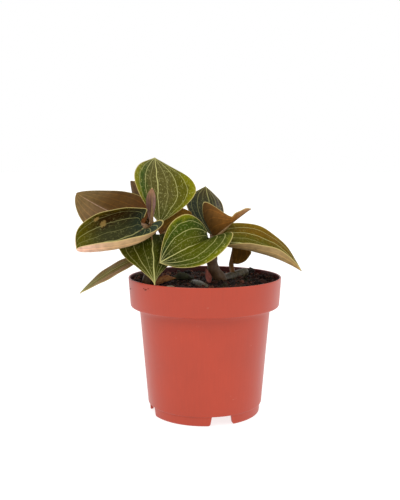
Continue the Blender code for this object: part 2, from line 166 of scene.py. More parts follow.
LEFT_STEM = Stem("stem_left", (
    (-45.0, -15.0, 92.0, 3.4), (-44.5, -16.0, 104.0, 3.8), (-43.0, -17.5, 116.0, 3.3),
    (-42.0, -18.5, 128.0, 3.4), (-40.5, -18.5, 140.0, 2.9), (-39.5, -18.0, 149.0, 2.0)))
RIGHT_STEM = Stem("stem_right", (
    (14.0, 5.0, 94.0, 4.0), (12.5, 3.0, 104.0, 4.9), (7.0, 0.5, 113.0, 4.5),
    (5.2, 0.0, 123.0, 4.2), (6.2, 0.5, 131.0, 3.7), (7.0, 0.5, 137.0, 2.6)))
RUNNER_RIGHT = Stem("runner_right", (
    (12.0, 3.5, 104.0, 4.6), (17.0, 9.5, 103.8, 4.3), (23.0, 16.0, 104.6, 4.0),
    (28.0, 20.5, 105.8, 3.9), (32.5, 24.0, 107.0, 3.7)))
RUNNER_LEFT = Stem("runner_left", (
    (-12.0, -5.0, 101.2, 2.6), (-8.5, -11.0, 103.0, 3.1), (-4.5, -18.0, 103.4, 3.2),
    (0.0, -25.0, 102.4, 3.0)))
PALE_ROOT = Stem("root_pale", (
    (-33.0, -33.0, 103.6, 0.5), (-28.0, -31.0, 104.2, 0.55), (-23.0, -30.0, 103.8, 0.5)))

LEAVES = (
    Leaf("leaf_upright", "stem_left", 144.0, (-35, -13, 150.3), 99, 72, 60.5, 60, bend=-30,
         widest=0.46, fold=(36, 12), curl=(25, 5), tip_fold=(26, -5), tip_curl=(10, -5),
         halves=(0.82, 1), blunt=1.0, point=1.05,
         look=Look(middle="504B1E", left="33460A", right="4E4C04", foot="464A12", tip="545026",
                   edge="6E6C00", edge_from=0.68)),
    # leaf_bowl: its right (far) half is painted dark brown as shade under the curled rim, and its left
    # (near) half is painted blue-grey as a sheen
    Leaf("leaf_bowl", "stem_left", 141.0, (-45.5, -27, 148.3), 200, -16, 53.5, 53, bend=8, crook=-32,
         roll=54, widest=0.41, lobe=(25, 18), fold=(0, 0), curl=(100, 140), tip_curl=(140, 60),
         halves=(0.92, 1.05), blunt=0.55, point=0.32,
         look=Look(middle="3A3A1C", left="4E5440", right="301E04", foot="28362A", tip="5C5600",
                   edge="4A3C04", veins=0.7, net=0.5, scars=((0.8, 0.67, 1.8), (0.56, 0.58, 2.3)),
                   under_left="B4946A", under_right="6A4C24", under_tip="D4A894")),
    # leaf_back_left: the underside of its left half is painted darker olive-brown as shade, where that
    # half faces down
    Leaf("leaf_back_left", "stem_left", 141.0, (-46, -12, 148), 158, 15, 65, 47, bend=14, roll=-105,
         widest=0.4, lobe=(3, 3), fold=(5, 40), curl=(12, 0), tip_fold=(42, 0), blunt=0.42,
         point=0.55, slot="leaf_brown",
         look=Look(under_left="4E3204", under_right="6A5034", under_foot="5C3200", under_tip="6A5632",
                   petiole=("6A4C2C", "96765A"))),
    Leaf("leaf_rolled_back", "stem_left", 136.0, (-44.5, 12, 148), 160, 45, 38, 34, bend=40,
         widest=0.5, curl=(100, 100), point=0.45, wave=0.0, slot="leaf_brown",
         look=Look(under_left="4E3A20", under_right="4E3A20", under_tip="4E3A22")),
    Leaf("leaf_rolled_young", "stem_left", 149.0, (-40.5, -24, 152), 285, 72, 26, 15, bend=15,
         widest=0.6, curl=(105, 105), blunt=0.4, point=0.9, wave=0.0, slot="leaf_brown",
         look=Look(under_left="745850", under_right="543C32", under_foot="6C5048", under_tip="7A5C44")),
    Leaf("leaf_between", "stem_left", 128.0, (-34.5, -4, 139.5), 20, 35, 31, 27, roll=100,
         halves=(0.8, 1.25), widest=0.45, fold=(5, 5), point=0.7, slot="leaf_brown",
         look=Look(under_left="5A2E10", under_right="7A5A14", under_foot="6A4228", under_tip="6A4A0C")),
    Leaf("leaf_hanging", "stem_left", 134.0, (-40, -28, 143.5), 279, -40, 42, 56, bend=-37,
         widest=0.2, lobe=(28, 19), fold=(-12, -25), curl=(0, 0), tip_fold=(-52, -25), blunt=0.4,
         point=1.3,
         look=Look(middle="343802", left="333A00", right="3C3C00", foot="262A02", tip="4A4A10",
                   edge="464600", veins=0.8, net=0.45)),
    Leaf("leaf_low_left", "stem_left", 124.0, (-45, -20, 127), 187, -20, 58, 27, bend=-20, roll=17,
         widest=0.45, lobe=(1, 1), fold=(0, -12), wave=0.25,
         look=Look(middle="625416", left="826040", right="62440A", foot="6A5410", tip="6A6434",
                   edge="7A5A24", veins=0.6, net=0.1)),
    Leaf("leaf_heart", "stem_right", 132.0, (3, -7, 137.6), 243, -5, 54.5, 49, bend=-20, swing=-36,
         roll=51, lobe=(23, -4), fold=(78, 28), curl=(-10, 15), tip_fold=(-5, 5), tip_curl=(0, 15),
         blunt=0.6,
         look=Look(middle="484C00", left="424A00", right="344400", foot="1E2A10", tip="0C180C",
                   edge="686A00", edge_from=0.75, net=0.8)),
    Leaf("leaf_back_right", "stem_right", 127.0, (6, 21, 138.0), 100, 72, 50, 40, bend=-40,
         halves=(1, 0.65), widest=0.5, fold=(10, -15), curl=(20, 0), tip_fold=(0, -15),
         tip_curl=(0, 0), point=1.0,
         look=Look(middle="32321E", left="282E20", right="4A443C", foot="262A1A", tip="403412",
                   edge="443C26", veins=0.45, net=0.3)),
    Leaf("leaf_cup", "stem_right", 135.0, (6.5, 1, 137.8), 12, 39, 38, 58, bend=-6, widest=0.12,
         lobe=(-14, -9), fold=(20, 70), curl=(40, 10), tip_fold=(45, 50), tip_curl=(20, 50),
         halves=(0.75, 1), blunt=1.5, point=4.4, horn=4.5, slot="leaf_brown",
         look=Look(middle="4A3406", left="4E3802", right="4E3802", tip="4E4A14", edge="4E3802",
                   under_left="5E4016", under_right="704818", under_foot="302004", under_tip="86684C")),
    Leaf("leaf_right", "stem_right", 125.0, (12.0, 0, 134.8), -8, 0, 68.5, 51, bend=-38, roll=-32,
         widest=0.4, lobe=(9, 2), fold=(0, 0), curl=(22, 56), tip_curl=(-20, 134), blunt=0.5,
         look=Look(middle="504A00", left="624800", right="46501A", foot="424206", tip="5C4C10",
                   edge="745C06", net=0.3, under_left="A2875A", under_right="A2875A",
                   under_foot="9A7A4A", under_tip="8A7040")),
    Leaf("leaf_small", "runner_right", 104.6, (23.5, 22, 114), 180, 88, 24, 30, lobe=(1, 1),
         fold=(60, 60), curl=(20, 20), stalk=2.1, slot="leaf_brown",
         look=Look(under_left="5C3E0C", under_right="54340A", under_foot="7E5A20", under_tip="543A0C",
                   petiole=("7A4C10", "5C3E0C"))),
)

# Sheaths on the soil, made like small blades, and their lighter and darker colours
LITTER = (
    Leaf("sheath_dry", "", 0, (-38, -22, 103.5), 15, 17, 17, 12, roll=30, curl=(100, 100), wave=0.3,
         slot="sheath"),
    Leaf("sheath_brown", "", 0, (-25.5, -5, 105.2), 5, 2, 17, 13, roll=25, fold=(5, 5),
         curl=(95, 95), wave=0.3, slot="runner"),
    Leaf("sheath_pink", "", 0, (3.0, -11, 102.5), 110, 62, 13, 6.5, roll=-10, fold=(5, 5),
         curl=(60, 60), wave=0.0, slot="sheath"),
)
LITTER_COLOURS = {"sheath_dry": ("B07A3E", "78401E"), "sheath_brown": ("464826", "262612"),
                  "sheath_pink": ("A05442", "6E342A")}

# The pot
BAND_HEIGHT = 22.8
BAND_FOOT_RADIUS = 58.5
SHOULDER_RADIUS = 51.4
SHOULDER_DROP = 3.2
STEP_RADIUS = 45.1
FOOT_HEIGHT = 7.6
FOOT_RADIUS = 43.4
FLOOR_THICKNESS = 1.6
PAD_RADIUS = 15.0
NOTCH_COUNT = 4
NOTCH_ANGLE = -73.2
NOTCH_WIDTH = 17.0
NOTCH_FLARE = 2.5
DRAIN_HOLES = 8
DRAIN_CIRCLE = 30.0
DRAIN_RADIUS = 3.0

# The soil, which stands SOIL_ROOM from the pot's wall and rises by SOIL_MOUND to its middle. The
# wall leans in by WALL_LEAN from the rim to the soil. Crumbs are heaped at two places, in radians
# round the rim. The few that stick to the rim's outside have their turn, height and size.
SOIL_RINGS = 96
SOIL_SEGMENTS = 260
SOIL_ROOM = 0.3
WALL_LEAN = 0.4
SOIL_MOUND = 1.6
MOUND_RADIUS = 57.0
CRUMB_REACH = 56.8
FIBRE_REACH = 56.0
HEAP_TURNS = (2.95, 0.2)
HEAP_HEIGHT = 3.4
RIM_CRUMB_RADIUS = 59.8
RIM_CRUMBS = ((-139.0, 103.9, 0.5), (-137.4, 103.2, 0.7), (-136.4, 103.4, 0.5), (-134.2, 104.4, 0.5),
              (-162.2, 100.2, 0.5))

# The bark chip
CHIP_SIZE = (7.0, 3.0, 8.0)
CHIP_PLACE = (38.0, 38.0, 105.0)
CHIP_TURN = (18.0, 24.0, 30.0)

# The stage. Each lamp has its place and its size in metres, and its share of the key light's power.
LAMPS = {"key": ((-0.35, -0.7, 0.95), 0.7, 1.0), "fill": ((0.8, -0.5, 0.6), 0.6, 0.35)}
LAMP_AIM = (0.0, 0.0, 0.1)
FLOOR_RADIUS = 20.0
FLOOR_DROP = 0.0002
FLOOR_GLOW = 0.8
CAMERA_PLACE = (-3.8, -580.0, 193.7)
CAMERA_DOWN = 6.45
CAMERA_LENS = 53.44


def linear(shade):
    """An sRGB hex colour as linear red, green and blue."""
    parts = [int(shade[i:i + 2], 16) / 255 for i in (0, 2, 4)]
    return tuple(c / 12.92 if c <= 0.04045 else ((c + 0.055) / 1.055) ** 2.4 for c in parts)


# Settings

def number_of(name, description, default, unit="LENGTH"):
    """A setting for a number: a length in metres, unless its unit says otherwise."""
    return bpy.props.FloatProperty(name=name, description=description, default=default, unit=unit)


def count_of(name, description, default, least=0):
    """A setting for a whole number."""
    return bpy.props.IntProperty(name=name, description=description, default=default, min=least)


def colour_of(name, description, shade):
    """A setting for a colour, from its sRGB hex."""
    return bpy.props.FloatVectorProperty(name=name, description=description, default=linear(shade),
                                         size=3, subtype="COLOR", min=0.0, max=1.0)


class PotSettings(bpy.types.PropertyGroup):
    """The pot's sizes and its colour"""

    rim_radius: number_of("Rim radius", "Outer radius at the top of the rim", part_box("pot")[1].x)
    height: number_of("Height", "From the table to the top of the rim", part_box("pot")[1].z)
    wall: number_of("Wall", "Thickness of the moulded wall", 0.0013)
    segments: count_of("Segments", "Steps round the pot", 192, 48)
    plastic: colour_of("Plastic", "Colour of the moulded plastic", "A83519")


class SoilSettings(bpy.types.PropertyGroup):
    """The soil's form, its loose bits and its colour"""

    level: number_of("Level", "Height of the soil at the pot's wall", 0.1026)
    bumps: number_of("Bumps", "Height of the largest bumps", 0.0017)
    crumbs: count_of("Crumbs", "Number of loose crumbs on the soil", 5000)
    clods: count_of("Clods", "How many of the crumbs are clods", 60)
    heaped: count_of("Heaped", "How many of the crumbs are heaped at the rim", 1300)
    fibres: count_of("Fibres", "Number of loose peat fibres", 170)
    peat: colour_of("Peat", "Colour of the damp peat", "20120D")


class PlantSettings(bpy.types.PropertyGroup):
    """The blades' thickness, and the colours that the plant's pieces share"""

    thickness: number_of("Blade thickness", "Thickness of a blade beside its midrib", 0.0008)
    vein_width: number_of("Vein width", "Width of the pale line along the midrib", 0.0005)
    veins: colour_of("Veins", "Colour of the pale veins", "B4B070")
    margin: colour_of("Margin", "Colour of the pale line round each blade", "BCAA6A")
    stem: colour_of("Stem", "Colour of the fleshy stems", "5A442C")
    runner: colour_of("Runner", "Colour of the creeping stems", "4A4430")


class StageSettings(bpy.types.PropertyGroup):
    """The light and the floor"""

    daylight: number_of("Daylight", "Strength of the white light from all round", 1.0, "NONE")
    key: number_of("Key light", "Power of the large lamp above and in front, in watts", 4.0, "POWER")
    floor: colour_of("Floor", "Colour of the floor", "A0A0A0")


# Materials

def rgba(colour):
    """A colour with its alpha, from an sRGB hex or from linear red, green and blue."""
    return (*(linear(colour) if isinstance(colour, str) else colour), 1.0)


def add_node(tree, kind, inputs=None, stops=(), **settings):
    """Adds a node. Inputs are sockets by name or number, each with a value, a node or its output.
    Stops are a colour ramp's places, each with its colour."""
    node = tree.nodes.new("ShaderNode" + kind)
    for name, value in settings.items():
        setattr(node, name, value)
    for name, value in (inputs or {}).items():
        socket = node.inputs[name]
        if isinstance(value, bpy.types.Node):
            value = next(output for output in value.outputs if output.enabled)
        if isinstance(value, bpy.types.NodeSocket):
            tree.links.new(value, socket)
        else:
            socket.default_value = rgba(value) if socket.type == "RGBA" else value
    for index, (place, colour) in enumerate(stops):
        ramp = node.color_ramp.elements
        stop = ramp[index] if index < 2 else ramp.new(place)
        stop.position, stop.color = place, rgba(colour)
    return node


def new_material(name, shine):
    """A material whose shader has these even values on its own sockets, and what adds its nodes."""
    made = bpy.data.materials.new(name)
    made.use_nodes = True
    shader = made.node_tree.nodes["Principled BSDF"]
    for socket, value in shine.items():
        shader.inputs[socket].default_value = value
    return made, partial(add_node, made.node_tree)


def finish(made, colour, relief, strength, depth, roughness=None):
    """Joins a colour to a material's shader, a relief with its strength and its depth in metres,
    and a roughness where that varies."""
    tree = made.node_tree
    shader = tree.nodes["Principled BSDF"]
    bump = add_node(tree, "Bump", {"Height": relief, "Strength": strength, "Distance": depth})
    tree.links.new(colour, shader.inputs["Base Color"])
    tree.links.new(bump.outputs[0], shader.inputs["Normal"])
    if roughness:
        tree.links.new(roughness.outputs[0], shader.inputs["Roughness"])
    return made


def blend_by(add, value, start, end, most, under, over):
    """Colour that goes from under to over while a value goes from start to end."""
    share = add("MapRange", {"Value": value, "From Min": start, "From Max": end, "To Max": most},
                interpolation_type="SMOOTHSTEP")
    return add("Mix", {0: share, 6: under, 7: over}, data_type="RGBA").outputs[2]


def shade_by(add, value, start, end, dark, light, colour):
    """Colour times a brightness that goes from dark to light while a value goes from start to end."""
    shade = add("MapRange", {"Value": value, "From Min": start, "From Max": end, "To Min": dark,
                             "To Max": light})
    return add("VectorMath", {0: colour, 1: shade}, operation="MULTIPLY").outputs[0]


def blade_place(add):
    """Where a spot is: its share as a whole, its flat place in millimetres, and the parts of the
    share, which are across and along, from 0 to 1, and the half blade's width in millimetres."""
    share = add("Attribute", attribute_name="share").outputs["Vector"]
    flat = add("Attribute", attribute_name="flat").outputs["Vector"]
    parts = add("SeparateXYZ", {0: share})
    return share, flat, *(parts.outputs[axis] for axis in "XYZ")


def long_veins(add, reach, half_blade):
    """Distance in millimetres from the nearest long vein: one every VEIN_SPACING of the half blade."""
    gap = add("Math", {0: reach, 1: VEIN_SPACING / 2}, operation="PINGPONG")
    return add("Math", {0: gap, 1: half_blade}, operation="MULTIPLY")


def pale_margin(add, reach, half_blade, start, end, most, colour, margin):
    """A blade's colour, with a pale line that comes in between two distances from its edge."""
    rim = add("Math", {0: 1.0, 1: reach}, operation="SUBTRACT")
    rim = add("Math", {0: rim, 1: half_blade}, operation="MULTIPLY")
    return blend_by(add, rim, start, end, most, colour, margin)


def leaf_lamina(leaf, plant):
    """Upper side of a jewel orchid's leaf, living tissue: deep olive green that turns yellower at the
    margins, pale veins from end to end, and a broken net between them. Its skin is of tiny domed
    cells, so it looks like velvet and has little gloss."""
    look = leaf.look
    made, add = new_material(leaf.name + "_lamina", {"Roughness": 0.5, "Specular IOR Level": 0.06})
    share, flat, across, along, half_blade = blade_place(add)
    drift = add("TexNoise", {"Vector": flat, "Scale": 0.08, "Detail": 1.0})
    drift = add("Math", {0: drift, 1: 0.12, 2: -0.06}, operation="MULTIPLY_ADD")
    drift = add("Math", {0: drift, 1: across}, operation="ADD")
    reach = add("Math", {0: drift}, operation="ABSOLUTE")

    # Long veins, the midrib the widest
    gap = long_veins(add, reach, half_blade)
    wide = plant.vein_width / MM / 2
    width = add("ValToRGB", {0: reach}, [(place, (wide * part,) * 3) for place, part in (
        (0.0, 1.0), (0.13, 0.1), (0.39, 0.5), (0.65, 0.3), (0.91, 0.0))])
    width.color_ramp.interpolation = "CONSTANT"
    soft = add("Math", {0: width, 1: 0.24}, operation="ADD")
    veins = add("MapRange", {"Value": gap, "From Min": soft, "From Max": width},
                interpolation_type="SMOOTHSTEP")
    fade = add("MapRange", {"Value": width, "From Max": wide, "To Min": 0.5, "To Max": 0.95})
    veins = add("Math", {0: veins, 1: fade}, operation="MULTIPLY")
    veins = add("Math", {0: veins, 1: look.veins}, operation="MULTIPLY")

    # Net of fine veins, drawn 0.2 mm wide so that it shows, in short bits of cells of 2 by 4 mm
    stretch = add("Mapping", {"Vector": flat, "Rotation": (0, 0, 0.55), "Scale": (0.62, 0.22, 0.3)})
    bend = add("TexNoise", {"Vector": flat, "Scale": 0.45, "Detail": 1.0}).outputs["Color"]
    bent = add("VectorMath", {0: bend, 1: (0.4, 0.4, 0.0), 2: stretch}, operation="MULTIPLY_ADD")
    cells = add("TexVoronoi", {"Vector": bent, "Scale": 1.0}, feature="DISTANCE_TO_EDGE")
    line = add("MapRange", {"Value": cells, "From Min": 0.06, "From Max": 0.005},
               interpolation_type="SMOOTHSTEP")
    parts = add("TexNoise", {"Vector": flat, "Scale": 0.55, "Detail": 1.0})
    shown = add("MapRange", {"Value": parts, "From Min": 0.48, "From Max": 0.62,
                             "To Max": 0.55 * look.net}, interpolation_type="SMOOTHSTEP")
    net = add("Math", {0: line, 1: shown}, operation="MULTIPLY")
    pale = add("Math", {0: veins, 1: net}, operation="MAXIMUM")

    # Tissue, darker along the midrib and yellower towards the margins
    # The two halves' colours; leaf_bowl's hold painted shade on its far half and a painted sheen on its
    # near half
    outer = blend_by(add, across, -0.3, 0.3, 1.0, look.left, look.right)
    mottle = add("TexNoise", {"Vector": flat, "Scale": 0.16, "Detail": 3.0})
    zone = add("Math", {0: mottle, 1: 0.5, 2: reach}, operation="MULTIPLY_ADD")
    tissue = blend_by(add, zone, 0.5, 0.95, 1.0, look.middle, outer)
    tissue = blend_by(add, zone, 0.25 + look.edge_from, 0.5 + look.edge_from, 1.0, tissue, look.edge)
    tissue = blend_by(add, along, 0.35, 0.0, 0.8, tissue, look.foot)
    tissue = blend_by(add, along, 0.55, 1.0, 0.85, tissue, look.tip)
    grain = add("TexNoise", {"Vector": flat, "Scale": 1.1, "Detail": 3.0})
    tissue = shade_by(add, grain, 0.3, 0.7, 0.75, 1.22, tissue)
    veined = add("Mix", {0: pale, 6: tissue, 7: plant.veins}, data_type="RGBA").outputs[2]
    even = add("Math", {0: across}, operation="ABSOLUTE")
    colour = pale_margin(add, even, half_blade, 0.65, 0.25, 0.75, veined, plant.margin)

    # Dry scars, each at a place on the blade, with its radius
    for side, length, radius in look.scars:
        away = add("VectorMath", {0: share, 1: (side, length, 0.0)}, operation="SUBTRACT")
        away = add("VectorMath", {0: away, 1: (leaf.width / 2, leaf.length, 0.0)},
                   operation="MULTIPLY")
        away = add("VectorMath", {0: away}, operation="LENGTH").outputs["Value"]
        torn = add("Math", {0: grain, 1: radius * 1.6, 2: away}, operation="MULTIPLY_ADD")
        colour = blend_by(add, torn, radius * 2.1, radius * 1.5, 0.85, colour, "9A7C44")

    # Velvety skin: rounded cells, drawn 0.4 mm across so that they show
    skin = add("TexVoronoi", {"Vector": flat, "Scale": 2.5})
    relief = add("Math", {0: pale, 1: -0.6, 2: skin}, operation="MULTIPLY_ADD")
    return finish(made, colour, relief, 0.25, 0.0002)


def leaf_underside(leaf, plant):
    """Lower side of the leaf: matt, brown to mauve, with the long veins only a little paler."""
    look = leaf.look
    made, add = new_material(leaf.name + "_underside",
                             {"Roughness": 0.55, "Specular IOR Level": 0.1})
    _, flat, across, along, half_blade = blade_place(add)
    # The two halves' colours; leaf_back_left's left half is painted darker as shade
    tissue = blend_by(add, across, -0.15, 0.15, 1.0, look.under_left, look.under_right)
    tissue = blend_by(add, along, 0.4, 0.0, 0.85, tissue, look.under_foot)
    tissue = blend_by(add, along, 0.5, 1.0, 0.85, tissue, look.under_tip)
    mottle = add("TexNoise", {"Vector": flat, "Scale": 0.25, "Detail": 5.0})
    tissue = shade_by(add, mottle, 0.3, 0.7, 0.8, 1.2, tissue)
    paler = add("VectorMath", {0: tissue, 1: (1.7, 1.55, 1.4)}, operation="MULTIPLY")
    reach = add("Math", {0: across}, operation="ABSOLUTE")
    gap = long_veins(add, reach, half_blade)
    veined = blend_by(add, gap, 0.5, 0.1, 0.7, tissue, paler)
    colour = pale_margin(add, reach, half_blade, 0.7, 0.2, 0.7, veined, plant.margin)
    skin = add("TexNoise", {"Vector": flat, "Scale": 1.6, "Detail": 3.0})
    return finish(made, colour, skin, 0.2, 0.0003)


def fleshy_stem(name, colour, tip, dark=0.25):
    """Succulent stem: waxy, with long pale streaks, darker blots and a change of colour along it.
    Dark is how strong the blots are."""
    made, add = new_material(name, {"Roughness": 0.45, "Specular IOR Level": 0.3})
    _, flat, _, along, _ = blade_place(add)
    mix = add("Mix", {0: along, 6: colour, 7: tip}, data_type="RGBA").outputs[2]
    long = add("Mapping", {"Vector": flat, "Scale": (1.2, 0.09, 1.0)})
    streaks = add("TexNoise", {"Vector": long, "Scale": 1.0, "Detail": 4.0})
    streaked = shade_by(add, streaks, 0.3, 0.7, 0.84, 1.2, mix)
    blots = add("TexNoise", {"Vector": flat, "Scale": 0.45, "Detail": 4.0})
    blotted = blend_by(add, blots, 0.45, 0.6, dark, streaked, "2C2216")
    return finish(made, blotted, streaks, 0.2, 0.0004)


def moulded_polypropylene(plastic):
    """Injection-moulded polypropylene: an even satin colour, faint clouds, fine upright draw lines and
    a little dust, so that its gloss is never quite even. Its inside is darker, part peat stain and part
    painted shade."""
    made, add = new_material("moulded_polypropylene", {"Roughness": 0.36, "IOR": 1.49})
    where = add("TexCoord").outputs["Object"]
    clouds = add("TexNoise", {"Vector": where, "Scale": 28.0, "Detail": 4.0})
    upright = add("Mapping", {"Vector": where, "Scale": (900.0, 900.0, 12.0)})
    lines = add("TexNoise", {"Vector": upright, "Scale": 1.0, "Detail": 2.0})
    both = add("Math", {0: lines, 1: 0.5, 2: clouds}, operation="MULTIPLY_ADD")
    colour = shade_by(add, both, 0.45, 1.05, 0.92, 1.08, tuple(plastic))
    dust = add("TexNoise", {"Vector": where, "Scale": 160.0, "Detail": 6.0, "Roughness": 0.7})
    specks = add("MapRange", {"Value": dust, "From Min": 0.66, "From Max": 0.78, "To Max": 0.35})
    dusty = add("Mix", {0: specks, 6: colour, 7: "B98A78"}, data_type="RGBA").outputs[2]
    # The inside is mixed towards dark red-brown 48120A: part stain of damp peat, part painted shade
    # inside the pot
    peat_and_shade = add("Attribute", attribute_name="inside").outputs["Fac"]
    inner = add("Mix", {0: peat_and_shade, 6: dusty, 7: "48120A"}, data_type="RGBA").outputs[2]
    rough = add("MapRange", {"Value": clouds, "From Min": 0.3, "From Max": 0.7, "To Min": 0.33,
                             "To Max": 0.43})
    return finish(made, inner, both, 0.12, 0.0003, rough)


def damp_peat(peat):
    """Damp peat mix: near black, with brown and reddish bits, each crumb with its own shade, and a
    thin dark green film of moss in places."""
    made, add = new_material("damp_peat", {"Roughness": 0.8, "Specular IOR Level": 0.2})
    where = add("TexCoord").outputs["Object"]
    tint = add("Attribute", attribute_name="tint").outputs["Fac"]
    fine = add("TexNoise", {"Vector": where, "Scale": 700.0, "Detail": 4.0})
    mixed = add("Math", {0: fine, 1: 0.45, 2: tint}, operation="MULTIPLY_ADD")
    shades = add("ValToRGB", {0: mixed}, ((0.15, "080403"), (0.45, peat), (0.75, "3C1E14"),
                                          (0.95, "643828"), (1.0, "7C5440")))
    film = add("TexNoise", {"Vector": where, "Scale": 85.0, "Detail": 3.0})
    colour = blend_by(add, film, 0.54, 0.68, 0.7, shades, "222612")
    return finish(made, colour, fine, 0.8, 0.0006)


def dry_sheath(name, light, dark):
    """Papery sheath that has dried: long fibres, lighter ridges and darker patches."""
    made, add = new_material(name + "_paper", {"Roughness": 0.7})
    flat = add("Attribute", attribute_name="flat").outputs["Vector"]
    long = add("Mapping", {"Vector": flat, "Scale": (1.6, 0.12, 1.0)})
    fibres = add("TexNoise", {"Vector": long, "Scale": 1.0, "Detail": 5.0})
    patches = add("TexNoise", {"Vector": flat, "Scale": 0.3, "Detail": 3.0})
    both = add("Math", {0: fibres, 1: patches}, operation="ADD")
    blend = add("MapRange", {"Value": both, "From Min": 0.75, "From Max": 1.25})
    colour = add("Mix", {0: blend, 6: dark, 7: light}, data_type="RGBA").outputs[2]
    return finish(made, colour, fibres, 0.6, 0.0006)


def pine_bark():
    """Broken pine bark: dark, layered and rough, a little paler on its ridges."""
    made, add = new_material("pine_bark", {"Roughness": 0.85})
    where = add("TexCoord").outputs["Object"]
    layers = add("Mapping", {"Vector": where, "Scale": (260.0, 260.0, 900.0)})
    grain = add("TexNoise", {"Vector": layers, "Scale": 1.0, "Detail": 5.0})
    shades = add("ValToRGB", {0: grain}, ((0.35, "1E1814"), (0.6, "3A3028"), (0.8, "5E5246")))
    return finish(made, shades.outputs[0], grain, 0.8, 0.0008)


# Meshes

def turns_round(count):
    """Angles round a circle, in radians."""
    return np.linspace(0, 2 * math.pi, count, endpoint=False)


def on_circle(radius, turn):
    """A place on a circle round the upright axis."""
    return radius * math.cos(turn), radius * math.sin(turn)


def new_mesh(name, points, faces):
    """A mesh from points in millimetres."""
    mesh = bpy.data.meshes.new(name)
    mesh.from_pydata([tuple(p) for p in np.asarray(points) * MM], [], faces)
    return mesh


def new_object(name, data):
    """An object in the scene, for a mesh, a lamp or a camera."""
    made = bpy.data.objects.new(name, data)
    bpy.context.scene.collection.objects.link(made)
    return made


def add_piece(name, points, faces, materials, slot, slots=None, **values):
    """A piece from points in millimetres. Values are numbers, or triples, for each point."""
    mesh = new_mesh(name, points, faces)
    for key, value in values.items():
        value = np.asarray(value, np.float32)
        kind, part = ("FLOAT_VECTOR", "vector") if value.ndim == 2 else ("FLOAT", "value")
        made = mesh.attributes.new(key, kind, "POINT")
        made.data.foreach_set(part, value.ravel())
    for material in materials:
        mesh.materials.append(material)
    if slots is not None:
        mesh.polygons.foreach_set("material_index", np.asarray(slots, np.int32))
    mesh.shade_smooth()
    mesh.update()
    piece = new_object(name, mesh)
    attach(piece, "root")
    return piece


def add_shell(name, shell, materials, slot):
    """A piece from a shell: points, faces, their materials, and each point's share and flat place."""
    points, faces, slots, share, flat = shell
    return add_piece(name, points, faces, materials, slot, slots if len(materials) > 1 else None,
                     share=share, flat=flat)


def joined(*shells):
    """Several shells as one. A shell's first parts are its points and its faces."""
    faces, start = [], 0
    for shell in shells:
        faces += [tuple(start + i for i in face) for face in shell[1]]
        start += len(shell[0])
    points, *rows = (np.concatenate(part) for part in zip(*(s[:1] + s[2:] for s in shells)))
    return points, faces, *rows


def taken(work):
    """The points and the faces of a bmesh, which is then freed."""
    points = np.array([v.co for v in work.verts])
    faces = [tuple(v.index for v in face.verts) for face in work.faces]
    work.free()
    return points, faces


def ring_faces(rings, sides):
    """Faces between rings of points that follow each other."""
    return [(ring * sides + i, ring * sides + (i + 1) % sides,
             (ring + 1) * sides + (i + 1) % sides, (ring + 1) * sides + i)
            for ring in range(rings - 1) for i in range(sides)]


def turned_faces(rings, sides):
    """Faces of a turned body: its rings, and fans to the two middle points that follow them."""
    top, foot, last = rings * sides, rings * sides + 1, (rings - 1) * sides
    faces = ring_faces(rings, sides) + [(top, (i + 1) % sides, i) for i in range(sides)]
    faces += [(foot, last + i, last + (i + 1) % sides) for i in range(sides)]
    return [face[::-1] for face in faces]


def smooth_route(route, per_span):
    """Points and radii along a Catmull-Rom curve through the route's own points."""
    points = np.array(route, float)
    ends = np.vstack([2 * points[0] - points[1], points, 2 * points[-1] - points[-2]])
    found = []
    for a, b, c, d in zip(ends, ends[1:], ends[2:], ends[3:]):
        for step in range(per_span):
            t = step / per_span
            found.append(0.5 * (2 * b + (c - a) * t + (2 * a - 5 * b + 4 * c - d) * t**2
                                + (3 * b - a - 3 * c + d) * t**3))
    found.append(points[-1])
    return np.array(found)


def with_round_end(points, steps=7):
    """Adds a dome to the last point."""
    last, ahead = points[-1], points[-1][:3] - points[-2][:3]
    ahead /= np.linalg.norm(ahead)
    dome = []
    for turn in np.radians(np.linspace(0, 86, steps + 1)[1:]):
        dome.append((*(last[:3] + ahead * last[3] * math.sin(turn)), last[3] * math.cos(turn)))
    return np.vstack([points, dome])


def tube(points, sides, roughness=0.0, seed=0.0, ridges=0.0, slot=0):
    """A closed tube through points with radii, as a shell. Its roughness is in millimetres, and its
    ridges are five, as a share of the radius."""
    middle, radii = points[:, :3], points[:, 3]
    ahead = np.gradient(middle, axis=0)
    ahead /= np.linalg.norm(ahead, axis=1)[:, None]
    normal = np.cross(ahead[0], (0.3, 0.9, 0.31))
    travelled = np.concatenate([[0], np.cumsum(np.linalg.norm(np.diff(middle, axis=0), axis=1))])
    found, shares, flats = [], [], []
    for index, (place, way, radius) in enumerate(zip(middle, ahead, radii)):
        normal = normal - way * normal.dot(way)
        normal /= np.linalg.norm(normal)
        other = np.cross(way, normal)
        for turn in turns_round(sides):
            out = math.cos(turn) * normal + math.sin(turn) * other
            swell = 1 + ridges * math.cos(5 * turn + seed)
            if roughness:
                spot = place + out * radius
                swell += roughness * noise.noise(Vector(spot / 2.2) + Vector((seed, 0, 0))) / radius
            found.append(place + out * radius * swell)
            shares.append((turn / math.pi - 1, index / (len(points) - 1), radius))
            flats.append((turn * radius, travelled[index], seed))
    faces = ring_faces(len(points), sides)
    faces.append(tuple(range(sides))[::-1])
    faces.append(tuple(range((len(points) - 1) * sides, len(points) * sides)))
    return np.array(found), faces, [slot] * len(faces), np.array(shares), np.array(flats)


def direction(heading, rise):
    """Unit vectors that point along these headings and rise by these angles."""
    heading, rise = np.radians(heading), np.radians(rise)
    flat = np.cos(rise)
    return np.stack([flat * np.cos(heading), flat * np.sin(heading), np.sin(rise)], -1)


def rise_at(leaf, along):
    """How steeply a blade rises at these shares of its length."""
    return leaf.rise + leaf.bend * along + leaf.crook * np.exp(-along / CROOK_REACH)


